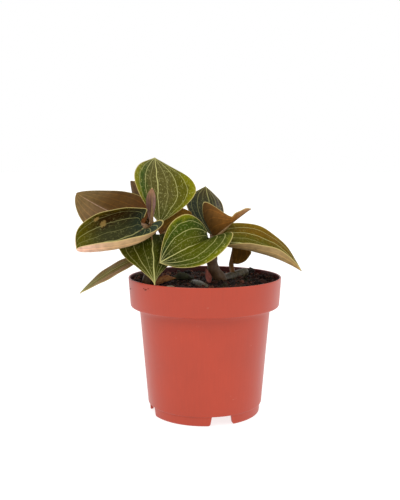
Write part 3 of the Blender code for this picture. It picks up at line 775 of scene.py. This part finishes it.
def midrib(leaf, along):
    """Points on the midrib at these shares of its length, with the right-hand and upward directions."""
    steps = 240
    share = np.linspace(0.0, 1.0, steps + 1)
    middle = (share[1:] + share[:-1]) / 2
    hops = direction(leaf.heading + leaf.swing * middle, rise_at(leaf, middle)) * leaf.length / steps
    path = np.vstack([np.zeros(3), np.cumsum(hops, axis=0)]) + np.array(leaf.base, float)
    points = np.stack([np.interp(along, share, path[:, axis]) for axis in range(3)], -1)
    heading = leaf.heading + leaf.swing * along
    forward = direction(heading, rise_at(leaf, along))
    turn = np.radians(heading)
    level = np.stack([np.sin(turn), -np.cos(turn), np.zeros_like(turn)], -1)
    upright = np.cross(level, forward)
    roll = math.radians(leaf.roll)
    side = math.cos(roll) * level + math.sin(roll) * upright
    up = math.cos(roll) * upright - math.sin(roll) * level
    return points, forward, side, up


def half_width(leaf, along, least=0.15):
    """Half of the blade's width at these shares of its length, before its halves are scaled."""
    power = math.log(0.5) / math.log(leaf.widest)
    swell = np.sin(math.pi * np.clip(along, 0, 1) ** power).clip(0, 1)
    width = leaf.width / 2 * swell ** (leaf.blunt + (leaf.point - leaf.blunt) * along)
    horn = leaf.horn * (1 - along**12)
    return np.maximum(np.maximum(width, horn), least)


def blade_points(leaf, along, across):
    """Points on the blade: rows at shares of the length, columns from -1 (left edge) to 1."""
    middle, forward, side, up = midrib(leaf, along)
    width = half_width(leaf, along)
    sweep = (1 - np.exp(-along / 0.05)) * (1 - along) ** 2.5
    tip_fold, tip_curl = leaf.tip_fold or leaf.fold, leaf.tip_curl or leaf.curl
    grid = np.zeros((len(along), len(across), 3))
    for column, share in enumerate(across):
        half, reach = int(share > 0), abs(share)
        fold = np.radians(leaf.fold[half] + (tip_fold[half] - leaf.fold[half]) * along)
        curl = np.radians(leaf.curl[half] + (tip_curl[half] - leaf.curl[half]) * along)
        curl = np.where(np.abs(curl) < 1e-3, 1e-3, curl)
        wide = width * leaf.halves[half]
        out = (np.sin(fold + curl * reach) - np.sin(fold)) / curl
        lift = (np.cos(fold) - np.cos(fold + curl * reach)) / curl
        ripple = leaf.wave * np.sin(6 * math.pi * along + 1.7 * half)
        ripple = ripple * reach**2.5 * np.sin(math.pi * along)
        grid[:, column] = (middle + side * (np.sign(share) * wide * out)[:, None]
                           + up * (wide * lift + ripple)[:, None]
                           - forward * (leaf.lobe[half] * sweep * reach**1.6)[:, None])
    return grid


def blade(leaf, rows, columns, thickness, quilt=0.16, cockle=0.14):
    """The blade as a closed shell: an upper and a lower side, with a rounded rim between them. Quilt
    is how far it swells between the veins, and cockle how uneven it is."""
    ease = (1 - np.cos(math.pi * np.linspace(0, 1, rows + 1))) / 2
    along = BLADE_START + (1 - BLADE_START) * ease
    across = np.linspace(-1, 1, columns + 1)
    sheet = blade_points(leaf, along, across)
    normal = np.cross(np.gradient(sheet, axis=1), np.gradient(sheet, axis=0))
    normal /= np.maximum(np.linalg.norm(normal, axis=2), 1e-9)[..., None]
    halves = np.where(across > 0, leaf.halves[1], leaf.halves[0])
    width = half_width(leaf, along)[:, None] * halves
    reach = np.abs(across)[None, :] * np.ones((len(along), 1))
    seed = sum(leaf.base) % 7.0
    rough = np.array([[noise.noise(Vector(p / 6.0) + Vector((seed, 0, 0)))
                       + 0.5 * noise.noise(Vector(p / 2.6)) for p in row] for row in sheet])
    room = np.minimum(width / 12, 1.0) * (1 - reach**6)
    between = (1 - np.cos(2 * math.pi * reach / VEIN_SPACING)) / 2
    groove = GROOVE_DEPTH * np.exp(-(reach * width / GROOVE_WIDTH) ** 2)
    lift = (quilt * between * (reach < SWELL_REACH) - groove) * room + cockle * rough * room
    half = thickness / 2 * (1 - MARGIN_THINNING * reach**4)
    top = sheet + normal * (half + lift)[..., None]
    low = sheet - normal * (half - cockle * rough * room)[..., None]
    ring = [(0, c) for c in range(columns)] + [(r, columns) for r in range(rows)]
    ring += [(rows, c) for c in range(columns, 0, -1)] + [(r, 0) for r in range(rows, 0, -1)]
    edge = []
    for r, c in ring:
        inner = sheet[min(max(r, 1), rows - 1), min(max(c, 1), columns - 1)]
        out = sheet[r, c] - inner
        out /= max(np.linalg.norm(out), 1e-9)
        edge.append(sheet[r, c] + out * half[r, c] * 0.7)
    count = (rows + 1) * (columns + 1)
    points = np.vstack([top.reshape(-1, 3), low.reshape(-1, 3), edge])
    at = [r * (columns + 1) + c for r, c in ring]
    faces, slots = [], []
    for r in range(rows):
        for c in range(columns):
            a = r * (columns + 1) + c
            b, e, d = a + 1, a + columns + 2, a + columns + 1
            faces += [(a, b, e, d), (count + d, count + e, count + b, count + a)]
            slots += [0, 1]
    for index, a in enumerate(at):
        b = at[(index + 1) % len(at)]
        ra, rb = 2 * count + index, 2 * count + (index + 1) % len(at)
        faces += [(b, a, ra, rb), (rb, ra, count + a, count + b)]
        slots += [0, 1]
    share = np.stack([across[None, :] * np.ones((len(along), 1)),
                      along[:, None] * np.ones(len(across)), width], -1).reshape(-1, 3)
    flat = np.stack([share[:, 0] * share[:, 2], share[:, 1] * leaf.length,
                     np.full(len(share), seed * 9.0)], -1)
    return (points, faces, slots, np.vstack([share, share, share[at]]),
            np.vstack([flat, flat, flat[at]]))


def on_stem(stem, height):
    """The point on a stem's middle at this height."""
    points = smooth_route(stem.route, 8)
    order = np.argsort(points[:, 2])
    return np.array([np.interp(height, points[order, 2], points[order, axis]) for axis in range(3)])


def petiole_points(leaf, stem):
    """The petiole from the stem's middle to the blade, and the rib that it becomes under the blade."""
    along = np.concatenate([np.linspace(0, RIB_REACH, 12), np.linspace(RIB_REACH, RIB_TIP, 7)[1:]])
    middle, forward, _, up = midrib(leaf, along)
    start, end = on_stem(stem, leaf.joins), middle[0] - up[0] * leaf.stalk * RIB_SINK
    reach = np.linalg.norm(end - start) / 3
    bend_in, bend_out = start + np.array([0.0, 0.0, reach]), end - forward[0] * reach
    points = []
    for t in np.linspace(0, 1, 14, endpoint=False):
        place = ((1 - t) ** 3 * start + 3 * (1 - t) ** 2 * t * bend_in
                 + 3 * (1 - t) * t**2 * bend_out + t**3 * end)
        points.append((*place, leaf.stalk + 1.1 * math.exp(-(t / 0.22) ** 2)))
    radii = np.interp(along, (0, RIB_REACH, RIB_TIP), (leaf.stalk, 0.45, 0.2))
    for place, lift, radius in zip(middle, up, radii):
        points.append((*(place - lift * radius * RIB_SINK), radius))
    return np.array(points)


# Operators

class ORCHID_OT_leaves(bpy.types.Operator):
    """Builds the thirteen leaves, each with its petiole and midrib"""

    bl_idname = "orchid.leaves"
    bl_label = "Leaves"

    def execute(self, context):
        plant = context.scene.orchid_plant
        stems = {stem.name: stem for stem in (LEFT_STEM, RIGHT_STEM, RUNNER_RIGHT)}
        for leaf in LEAVES:
            shell = joined(blade(leaf, BLADE_ROWS, BLADE_COLUMNS, plant.thickness / MM),
                           tube(petiole_points(leaf, stems[leaf.stem]), 14, slot=2))
            skins = [leaf_lamina(leaf, plant), leaf_underside(leaf, plant),
                     fleshy_stem(leaf.name + "_petiole", *leaf.look.petiole)]
            piece = add_shell(leaf.name + "_fine", shell, skins, leaf.slot)
            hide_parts(leaf.name)
        return {"FINISHED"}


class ORCHID_OT_stems(bpy.types.Operator):
    """Builds the upright stems, the runners and the pale root"""

    bl_idname = "orchid.stems"
    bl_label = "Stems"

    def execute(self, context):
        plant = context.scene.orchid_plant
        upright = fleshy_stem("stem_flesh", plant.stem, "644A32")
        creeping = fleshy_stem("runner_flesh", plant.runner, "5E5640", 0.75)
        for stem in (LEFT_STEM, RIGHT_STEM):
            points = smooth_route(stem.route, 22)
            for height in [leaf.joins for leaf in LEAVES if leaf.stem == stem.name]:
                above = points[:, 2] - height
                reach = np.where(above < 0, CUFF_BELOW, CUFF_ABOVE)
                points[:, 3] += CUFF_SWELL * np.exp(-(above / reach) ** 2)
            points[:, 3] += STEM_SWELL * np.sin(points[:, 2] * 0.9) * (points[:, 2] > STEM_FOOT)
            shell = tube(with_round_end(points), 28, roughness=0.16, seed=stem.route[0][0],
                         ridges=0.012)
            if stem is RIGHT_STEM:
                # Its side runner has one thicker joint, at the 40th ring
                arm = with_round_end(smooth_route(RUNNER_RIGHT.route, 18))
                arm[:, 3] += 0.25 * np.exp(-((np.arange(len(arm)) - 40) / 2.0) ** 2)
                arm = tube(arm, 28, roughness=0.25, seed=3.0, ridges=0.015, slot=1)
                shell = joined(shell, arm)
            piece = add_shell(stem.name + "_fine", shell, [upright, creeping], "stem")
            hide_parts(stem.name)
        shell = tube(with_round_end(smooth_route(RUNNER_LEFT.route, 18)), 26, roughness=0.3,
                     seed=5.0, ridges=0.015)
        piece = add_shell("runner_left_fine", shell, [creeping], "runner")
        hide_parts("runner_left")
        shell = tube(smooth_route(PALE_ROOT.route, 14), 12, roughness=0.25, seed=2.0)
        skin = fleshy_stem("root_skin", "B4A58C", "9A8468")
        piece = add_shell("root_pale_fine", shell, [skin], "root")
        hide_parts("root_pale")
        return {"FINISHED"}


def rounded(profile, steps=4):
    """A profile of (radius, height, rounding), with each corner as an arc of that size."""
    corners = [np.array(p[:2], float) for p in profile]
    found = [tuple(corners[0])]
    for index in range(1, len(corners) - 1):
        before, corner, after = corners[index - 1:index + 2]
        size = profile[index][2]
        if size <= 0:
            found.append(tuple(corner))
            continue
        start, end = (corner + way / np.linalg.norm(way) * min(size, np.linalg.norm(way) * 0.48)
                      for way in (before - corner, after - corner))
        for t in np.linspace(0, 1, steps + 1):
            found.append(tuple((1 - t) ** 2 * start + 2 * (1 - t) * t * corner + t**2 * end))
    found.append(tuple(corners[-1]))
    return found


def pot_profile(rim, height, wall):
    """The pot's section, from the middle of its floor over the rim and down to the middle below."""
    band_foot = height - BAND_HEIGHT
    shoulder = band_foot - SHOULDER_DROP
    floor = FOOT_HEIGHT + FLOOR_THICKNESS
    return rounded([
        (0.0, floor, 0),
        (STEP_RADIUS - wall, floor, 2.5),
        (SHOULDER_RADIUS - wall, shoulder + wall, 2.0),
        (BAND_FOOT_RADIUS - wall, band_foot + wall, 1.6),
        (rim - wall - 0.15, height - 2.4, 0.4),
        (rim - wall + 0.05, height, 0.55),
        (rim, height, 0.6),
        (rim - 0.12, height - 3.0, 0.8),
        (BAND_FOOT_RADIUS, band_foot, 1.6),
        (SHOULDER_RADIUS + 1.6, band_foot - 0.3, 1.6),
        (SHOULDER_RADIUS, shoulder, 2.4),
        (STEP_RADIUS, FOOT_HEIGHT, 0.9),
        (FOOT_RADIUS + 0.55, FOOT_HEIGHT - 0.25, 0.5),
        (FOOT_RADIUS, 0.0, 1.3),
        (FOOT_RADIUS - 2.2, 0.0, 0.3),
        (FOOT_RADIUS - 2.2, FOOT_HEIGHT, 0.6),
        (PAD_RADIUS + 1.0, FOOT_HEIGHT, 1.2),
        (PAD_RADIUS, 0.0, 0.3),
        (0.0, 0.0, 0),
    ])


def cut(piece, name, points, faces):
    """Takes a closed shape out of a piece."""
    mesh = new_mesh(name, points, faces)
    work = bmesh.new()
    work.from_mesh(mesh)
    bmesh.ops.recalc_face_normals(work, faces=work.faces)
    work.to_mesh(mesh)
    work.free()
    cutter = new_object(name, mesh)
    modifier = piece.modifiers.new(name, "BOOLEAN")
    modifier.operation = "DIFFERENCE"
    modifier.object = cutter
    graph = bpy.context.evaluated_depsgraph_get()
    fresh = bpy.data.meshes.new_from_object(piece.evaluated_get(graph))
    piece.modifiers.clear()
    piece.data = fresh
    bpy.data.objects.remove(cutter, do_unlink=True)


def prism(outline, near, far, angle):
    """A flat outline of (sideways, height) drawn out from one radius to another, at an angle."""
    turn, count = math.radians(angle), len(outline)
    out = np.array([math.cos(turn), math.sin(turn), 0])
    side = np.array([-math.sin(turn), math.cos(turn), 0])
    points = [out * radius + side * x + (0, 0, z) for radius in (near, far) for x, z in outline]
    faces = [tuple(range(count)), tuple(range(2 * count - 1, count - 1, -1))]
    return points, faces + ring_faces(2, count)


class ORCHID_OT_pot(bpy.types.Operator):
    """Builds the moulded pot with its band, foot notches and drain holes"""

    bl_idname = "orchid.pot"
    bl_label = "Pot"

    def execute(self, context):
        pot = context.scene.orchid_pot
        section = pot_profile(pot.rim_radius / MM, pot.height / MM, pot.wall / MM)
        inner = section[1:-1]
        points = [(*on_circle(r, turn), z) for r, z in inner for turn in turns_round(pot.segments)]
        points += [(0, 0, section[0][1]), (0, 0, section[-1][1])]
        # Rows of the inner wall under the rim, which the material darkens with peat stain and painted
        # shade
        over = int(np.argmax([z for _, z in inner]))
        damp = [float(row < over and z < pot.height / MM - 0.3) for row, (_, z) in enumerate(inner)]
        damp = np.append(np.repeat(damp, pot.segments), (1.0, 0.0))
        piece = add_piece("pot_fine", points, turned_faces(len(inner), pot.segments),
                          [moulded_polypropylene(pot.plastic)], "pot", inside=damp)
        half = NOTCH_WIDTH / 2
        side = [(half + NOTCH_FLARE, -1.0), (half + NOTCH_FLARE, 0.0)]
        for turn in np.radians(np.linspace(0, 90, 7)[1:]):
            side.append((half + NOTCH_FLARE * (1 - math.sin(turn)), NOTCH_FLARE * (1 - math.cos(turn))))
        side.append((half - 0.8, FOOT_HEIGHT))
        outline = side + [(-x, z) for x, z in reversed(side)]
        for index in range(NOTCH_COUNT):
            cut(piece, "notch", *prism(outline, PAD_RADIUS + 2, STEP_RADIUS + 4,
                                       NOTCH_ANGLE + index * 360 / NOTCH_COUNT))
        # Each drain hole is a tube that passes through the floor
        for index in range(DRAIN_HOLES):
            spot = on_circle(DRAIN_CIRCLE, math.radians(360 * (index + 0.5) / DRAIN_HOLES))
            ends = np.array([(*spot, z, DRAIN_RADIUS) for z in (FOOT_HEIGHT - 1.6, FOOT_HEIGHT + 3.2)])
            cut(piece, "drain", *tube(ends, 28)[:2])
        piece.data.set_sharp_from_angle(angle=math.radians(50))
        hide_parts("pot")
        return {"FINISHED"}


def soil_height(x, y, bumps, fine=True):
    """Height of the soil's bumps: the CAD source's three sizes of smooth noise, then finer ones."""
    layers = ((14.0, 0.5), (6.5, 0.35), (3.4, 0.25), (1.7, 0.3), (0.9, 0.22))
    return bumps * sum(share * noise.noise(Vector((x / size, y / size, 3.7)))
                       for size, share in layers[:5 if fine else 3])


def soil_level(x, y, soil):
    """Height of the soil at a place, without its finest bumps."""
    inward = max(0.0, 1 - math.hypot(x, y) / MOUND_RADIUS)
    return soil.level / MM + SOIL_MOUND * inward**0.7 + soil_height(x, y, soil.bumps / MM, False)


class ORCHID_OT_soil(bpy.types.Operator):
    """Builds the potting soil and the crumbs and fibres that lie on it"""

    bl_idname = "orchid.soil"
    bl_label = "Soil"

    def execute(self, context):
        soil, pot = context.scene.orchid_soil, context.scene.orchid_pot
        wall = pot.wall / MM + SOIL_ROOM
        edge = pot.rim_radius / MM - wall - WALL_LEAN
        peat = damp_peat(soil.peat)
        rings = [(edge * step / SOIL_RINGS, None) for step in range(1, SOIL_RINGS + 1)]
        shoulder = pot.height / MM - BAND_HEIGHT - SHOULDER_DROP
        rings += [(BAND_FOOT_RADIUS - wall, shoulder + SHOULDER_DROP + wall + 0.8),
                  (SHOULDER_RADIUS - wall, shoulder + wall), (STEP_RADIUS - wall, 12.0),
                  (STEP_RADIUS - wall - 2, FOOT_HEIGHT + FLOOR_THICKNESS + 0.3)]
        points, tints = [], []
        for radius, height in rings:
            for turn in turns_round(SOIL_SEGMENTS):
                x, y = on_circle(radius, turn)
                z = height
                if height is None:
                    z = soil.level / MM + SOIL_MOUND * (1 - radius / edge) ** 0.7
                    z += soil_height(x, y, soil.bumps / MM) * min(1.0, (edge - radius) / 2 + 0.4)
                points.append((x, y, z))
                tints.append(0.28 + 0.25 * noise.noise(Vector((x / 2.5, y / 2.5, 9.1))))
        points += [(0, 0, points[0][2]), (0, 0, FOOT_HEIGHT + FLOOR_THICKNESS + 0.3)]
        tints += [0.3, 0.3]
        piece = add_piece("soil_fine", points, turned_faces(len(rings), SOIL_SEGMENTS), [peat],
                          "soil", tint=tints)
        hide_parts("soil")
        self.crumbs(soil, peat)
        self.fibres(soil, peat)
        return {"FINISHED"}

    def crumbs(self, soil, peat):
        """Loose crumbs: dented balls of many sizes, half of them under 1 mm across, and some clods."""
        rng = np.random.default_rng(11)
        balls, shells = [], []
        for divisions in (1, 2, 3):
            work = bmesh.new()
            bmesh.ops.create_icosphere(work, subdivisions=divisions, radius=1.0)
            balls.append(taken(work))
        flesh = np.vstack([smooth_route(stem.route, 6)
                           for stem in (LEFT_STEM, RIGHT_STEM, RUNNER_RIGHT, RUNNER_LEFT)])
        for index in range(soil.crumbs + len(RIM_CRUMBS)):
            # The clods come first and the heaped crumbs last, and a size is a radius in millimetres
            clod, heaped = index < soil.clods, soil.crumbs - soil.heaped <= index < soil.crumbs
            size = rng.uniform(1.8, 3.6) if clod else min(1.7, float(np.exp(rng.normal(-0.75, 0.5))))
            radius = (CRUMB_REACH - size) * math.sqrt(rng.random())
            turn = rng.random() * 2 * math.pi
            if heaped:
                heap = HEAP_TURNS[index % 3 // 2]
                radius = CRUMB_REACH - size - abs(rng.normal(0, 4))
                turn = rng.normal(heap, 0.45)
            x, y = on_circle(radius, turn)
            z = soil_level(x, y, soil) + size * rng.uniform(-0.3, 0.05 if clod else 0.4)
            if heaped:
                rise = HEAP_HEIGHT * rng.random() * math.exp(-((turn - heap) / 0.7) ** 2)
                z += rise * (radius - 44) / 12
            if index >= soil.crumbs:
                turn, z, size = RIM_CRUMBS[index - soil.crumbs]
                x, y = on_circle(RIM_CRUMB_RADIUS, math.radians(turn))
            near = np.linalg.norm(flesh[:, :3] - (x, y, z), axis=1) - flesh[:, 3]
            if near.min() < size * (1.2 if clod else 0.6):
                continue
            ball, sides = balls[2 if clod else int(size > 0.7)]
            dents = 1 + 0.2 * rng.standard_normal(len(ball)).clip(-1.5, 1.5)
            if clod:
                dents = np.array([1 + 0.45 * noise.noise(Vector(p) * 1.3 + Vector((x, y, z)))
                                  + 0.12 * noise.noise(Vector(p) * 5 + Vector((x, y, z)))
                                  for p in ball])
            shape = ball * dents[:, None] * size * rng.uniform(0.6, 1.15, 3)
            a, b = rng.random(2) * 2 * math.pi
            spin = np.array([[math.cos(a), -math.sin(a), 0], [math.sin(a), math.cos(a), 0], [0, 0, 1]])
            tilt = np.array([[1, 0, 0], [0, math.cos(b), -math.sin(b)], [0, math.sin(b), math.cos(b)]])
            shells.append((shape @ (spin @ tilt).T + (x, y, z), sides,
                           [rng.beta(1.4, 3.2)] * len(ball)))
        points, faces, tints = joined(*shells)
        piece = add_piece("soil_crumbs", points, faces, [peat], "soil", tint=tints)
        piece.data.set_sharp_from_angle(angle=math.radians(60))

    def fibres(self, soil, peat):
        """Peat fibres: thin bent threads, half sunk in the soil."""
        rng = np.random.default_rng(5)
        shells = []
        for _ in range(soil.fibres):
            length, radius = rng.uniform(3, 11), 50 * math.sqrt(rng.random())
            turn, heading = rng.random(2) * 2 * math.pi
            x, y = on_circle(radius, turn)
            route = []
            for _ in range(4):
                heading += rng.normal(0, 0.4)
                x += math.cos(heading) * length / 4
                y += math.sin(heading) * length / 4
                lift = rng.uniform(-0.3, 0.9)
                route.append((x, y, soil_level(x, y, soil) + lift, rng.uniform(0.1, 0.24)))
            if max(math.hypot(p[0], p[1]) for p in route) > FIBRE_REACH:
                continue
            points, faces, *_ = tube(smooth_route(route, 4), 6)
            shells.append((points, faces, [rng.uniform(0.45, 0.95)] * len(points)))
        points, faces, tints = joined(*shells)
        add_piece("soil_fibres", points, faces, [peat], "soil", tint=tints)


class ORCHID_OT_litter(bpy.types.Operator):
    """Builds the dry sheaths and the bark chip that lie on the soil"""

    bl_idname = "orchid.litter"
    bl_label = "Litter"

    def execute(self, context):
        for scrap in LITTER:
            shell = blade(scrap, 44, 28, SHEATH_THICKNESS, quilt=0.1, cockle=0.35)
            paper = dry_sheath(scrap.name, *LITTER_COLOURS[scrap.name])
            piece = add_shell(scrap.name + "_fine", shell, [paper], scrap.slot)
            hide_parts(scrap.name)
        work = bmesh.new()
        bmesh.ops.create_cube(work, size=1.0)
        bmesh.ops.subdivide_edges(work, edges=work.edges, cuts=22, use_grid_fill=True)
        turn = [math.radians(value) for value in CHIP_TURN]
        for vertex in work.verts:
            flat = Vector(vertex.co)
            if flat.z > 0:
                flat.x *= 1 - 0.55 * min(flat.z * 2, 1.0)
            spot = Vector([part * size for part, size in zip(flat, CHIP_SIZE)])
            torn = noise.noise(spot / 2.4) * 0.5 + noise.noise(spot / 0.9) * 0.22
            layer = 0.2 * math.sin(spot.y * 7 + noise.noise(spot / 3) * 4)
            vertex.co = spot + vertex.co.normalized() * (torn + layer)
        bmesh.ops.rotate(work, verts=work.verts, matrix=Euler(turn).to_matrix())
        bmesh.ops.translate(work, verts=work.verts, vec=CHIP_PLACE)
        piece = add_piece("chip_fine", *taken(work), [pine_bark()], "chip")
        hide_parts("chip")
        return {"FINISHED"}


class ORCHID_OT_stage(bpy.types.Operator):
    """Builds the floor, the white surroundings, the lamps and the camera"""

    bl_idname = "orchid.stage"
    bl_label = "Stage"

    def execute(self, context):
        stage, scene = context.scene.orchid_stage, context.scene
        scene.view_settings.view_transform = "Standard"
        world = bpy.data.worlds.new("white_room")
        world.use_nodes = True
        sky = world.node_tree.nodes["Background"]
        sky.inputs["Color"].default_value = (1, 1, 1, 1)
        sky.inputs["Strength"].default_value = stage.daylight
        scene.world = world

        work = bmesh.new()
        bmesh.ops.create_circle(work, cap_ends=True, segments=96, radius=FLOOR_RADIUS)
        mesh = bpy.data.meshes.new("floor")
        work.to_mesh(mesh)
        work.free()
        matt, _ = new_material("matt_white_floor", {
            "Roughness": 0.9, "Base Color": rgba(stage.floor), "Emission Color": (1, 1, 1, 1),
            "Emission Strength": FLOOR_GLOW})
        mesh.materials.append(matt)
        floor = new_object("floor", mesh)
        floor.location.z = -FLOOR_DROP

        for name, (place, size, share) in LAMPS.items():
            lamp = bpy.data.lights.new(name, "AREA")
            lamp.size, lamp.energy = size, stage.key * share
            holder = new_object(name, lamp)
            holder.location = place
            aim = Vector(LAMP_AIM) - Vector(place)
            holder.rotation_euler = aim.to_track_quat("-Z", "Y").to_euler()

        lens = bpy.data.cameras.new("camera")
        lens.lens = CAMERA_LENS
        lens.clip_start = 0.01
        eye = new_object("camera", lens)
        eye.location = [value * MM for value in CAMERA_PLACE]
        eye.rotation_euler = (math.radians(90 - CAMERA_DOWN), 0, 0)
        scene.camera = eye
        return {"FINISHED"}


class ORCHID_PT_panel(bpy.types.Panel):
    """Lists the steps and the values that they use"""

    bl_label = "Jewel orchid"
    bl_idname = "ORCHID_PT_panel"
    bl_space_type = "VIEW_3D"
    bl_region_type = "UI"
    bl_category = "Orchid"

    def draw(self, context):
        scene, layout = context.scene, self.layout
        for group in (scene.orchid_pot, scene.orchid_soil, scene.orchid_plant, scene.orchid_stage):
            box = layout.box()
            for name in group.__annotations__:
                box.prop(group, name)
        for step in STEPS:
            layout.operator(step.bl_idname)


GROUPS = {"orchid_pot": PotSettings, "orchid_soil": SoilSettings, "orchid_plant": PlantSettings,
          "orchid_stage": StageSettings}
STEPS = (ORCHID_OT_stage, ORCHID_OT_pot, ORCHID_OT_soil, ORCHID_OT_stems, ORCHID_OT_leaves,
         ORCHID_OT_litter)


def register():
    for made in (*GROUPS.values(), *STEPS, ORCHID_PT_panel):
        bpy.utils.register_class(made)
    for name, group in GROUPS.items():
        setattr(bpy.types.Scene, name, bpy.props.PointerProperty(type=group))


def unregister():
    for name in GROUPS:
        delattr(bpy.types.Scene, name)
    for made in (ORCHID_PT_panel, *STEPS[::-1], *GROUPS.values()):
        bpy.utils.unregister_class(made)


def main():
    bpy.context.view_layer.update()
    register()
    bpy.ops.orchid.stage()
    bpy.ops.orchid.pot()
    bpy.ops.orchid.soil()
    bpy.ops.orchid.stems()
    bpy.ops.orchid.leaves()
    bpy.ops.orchid.litter()


if __name__ == "__main__":
    main()
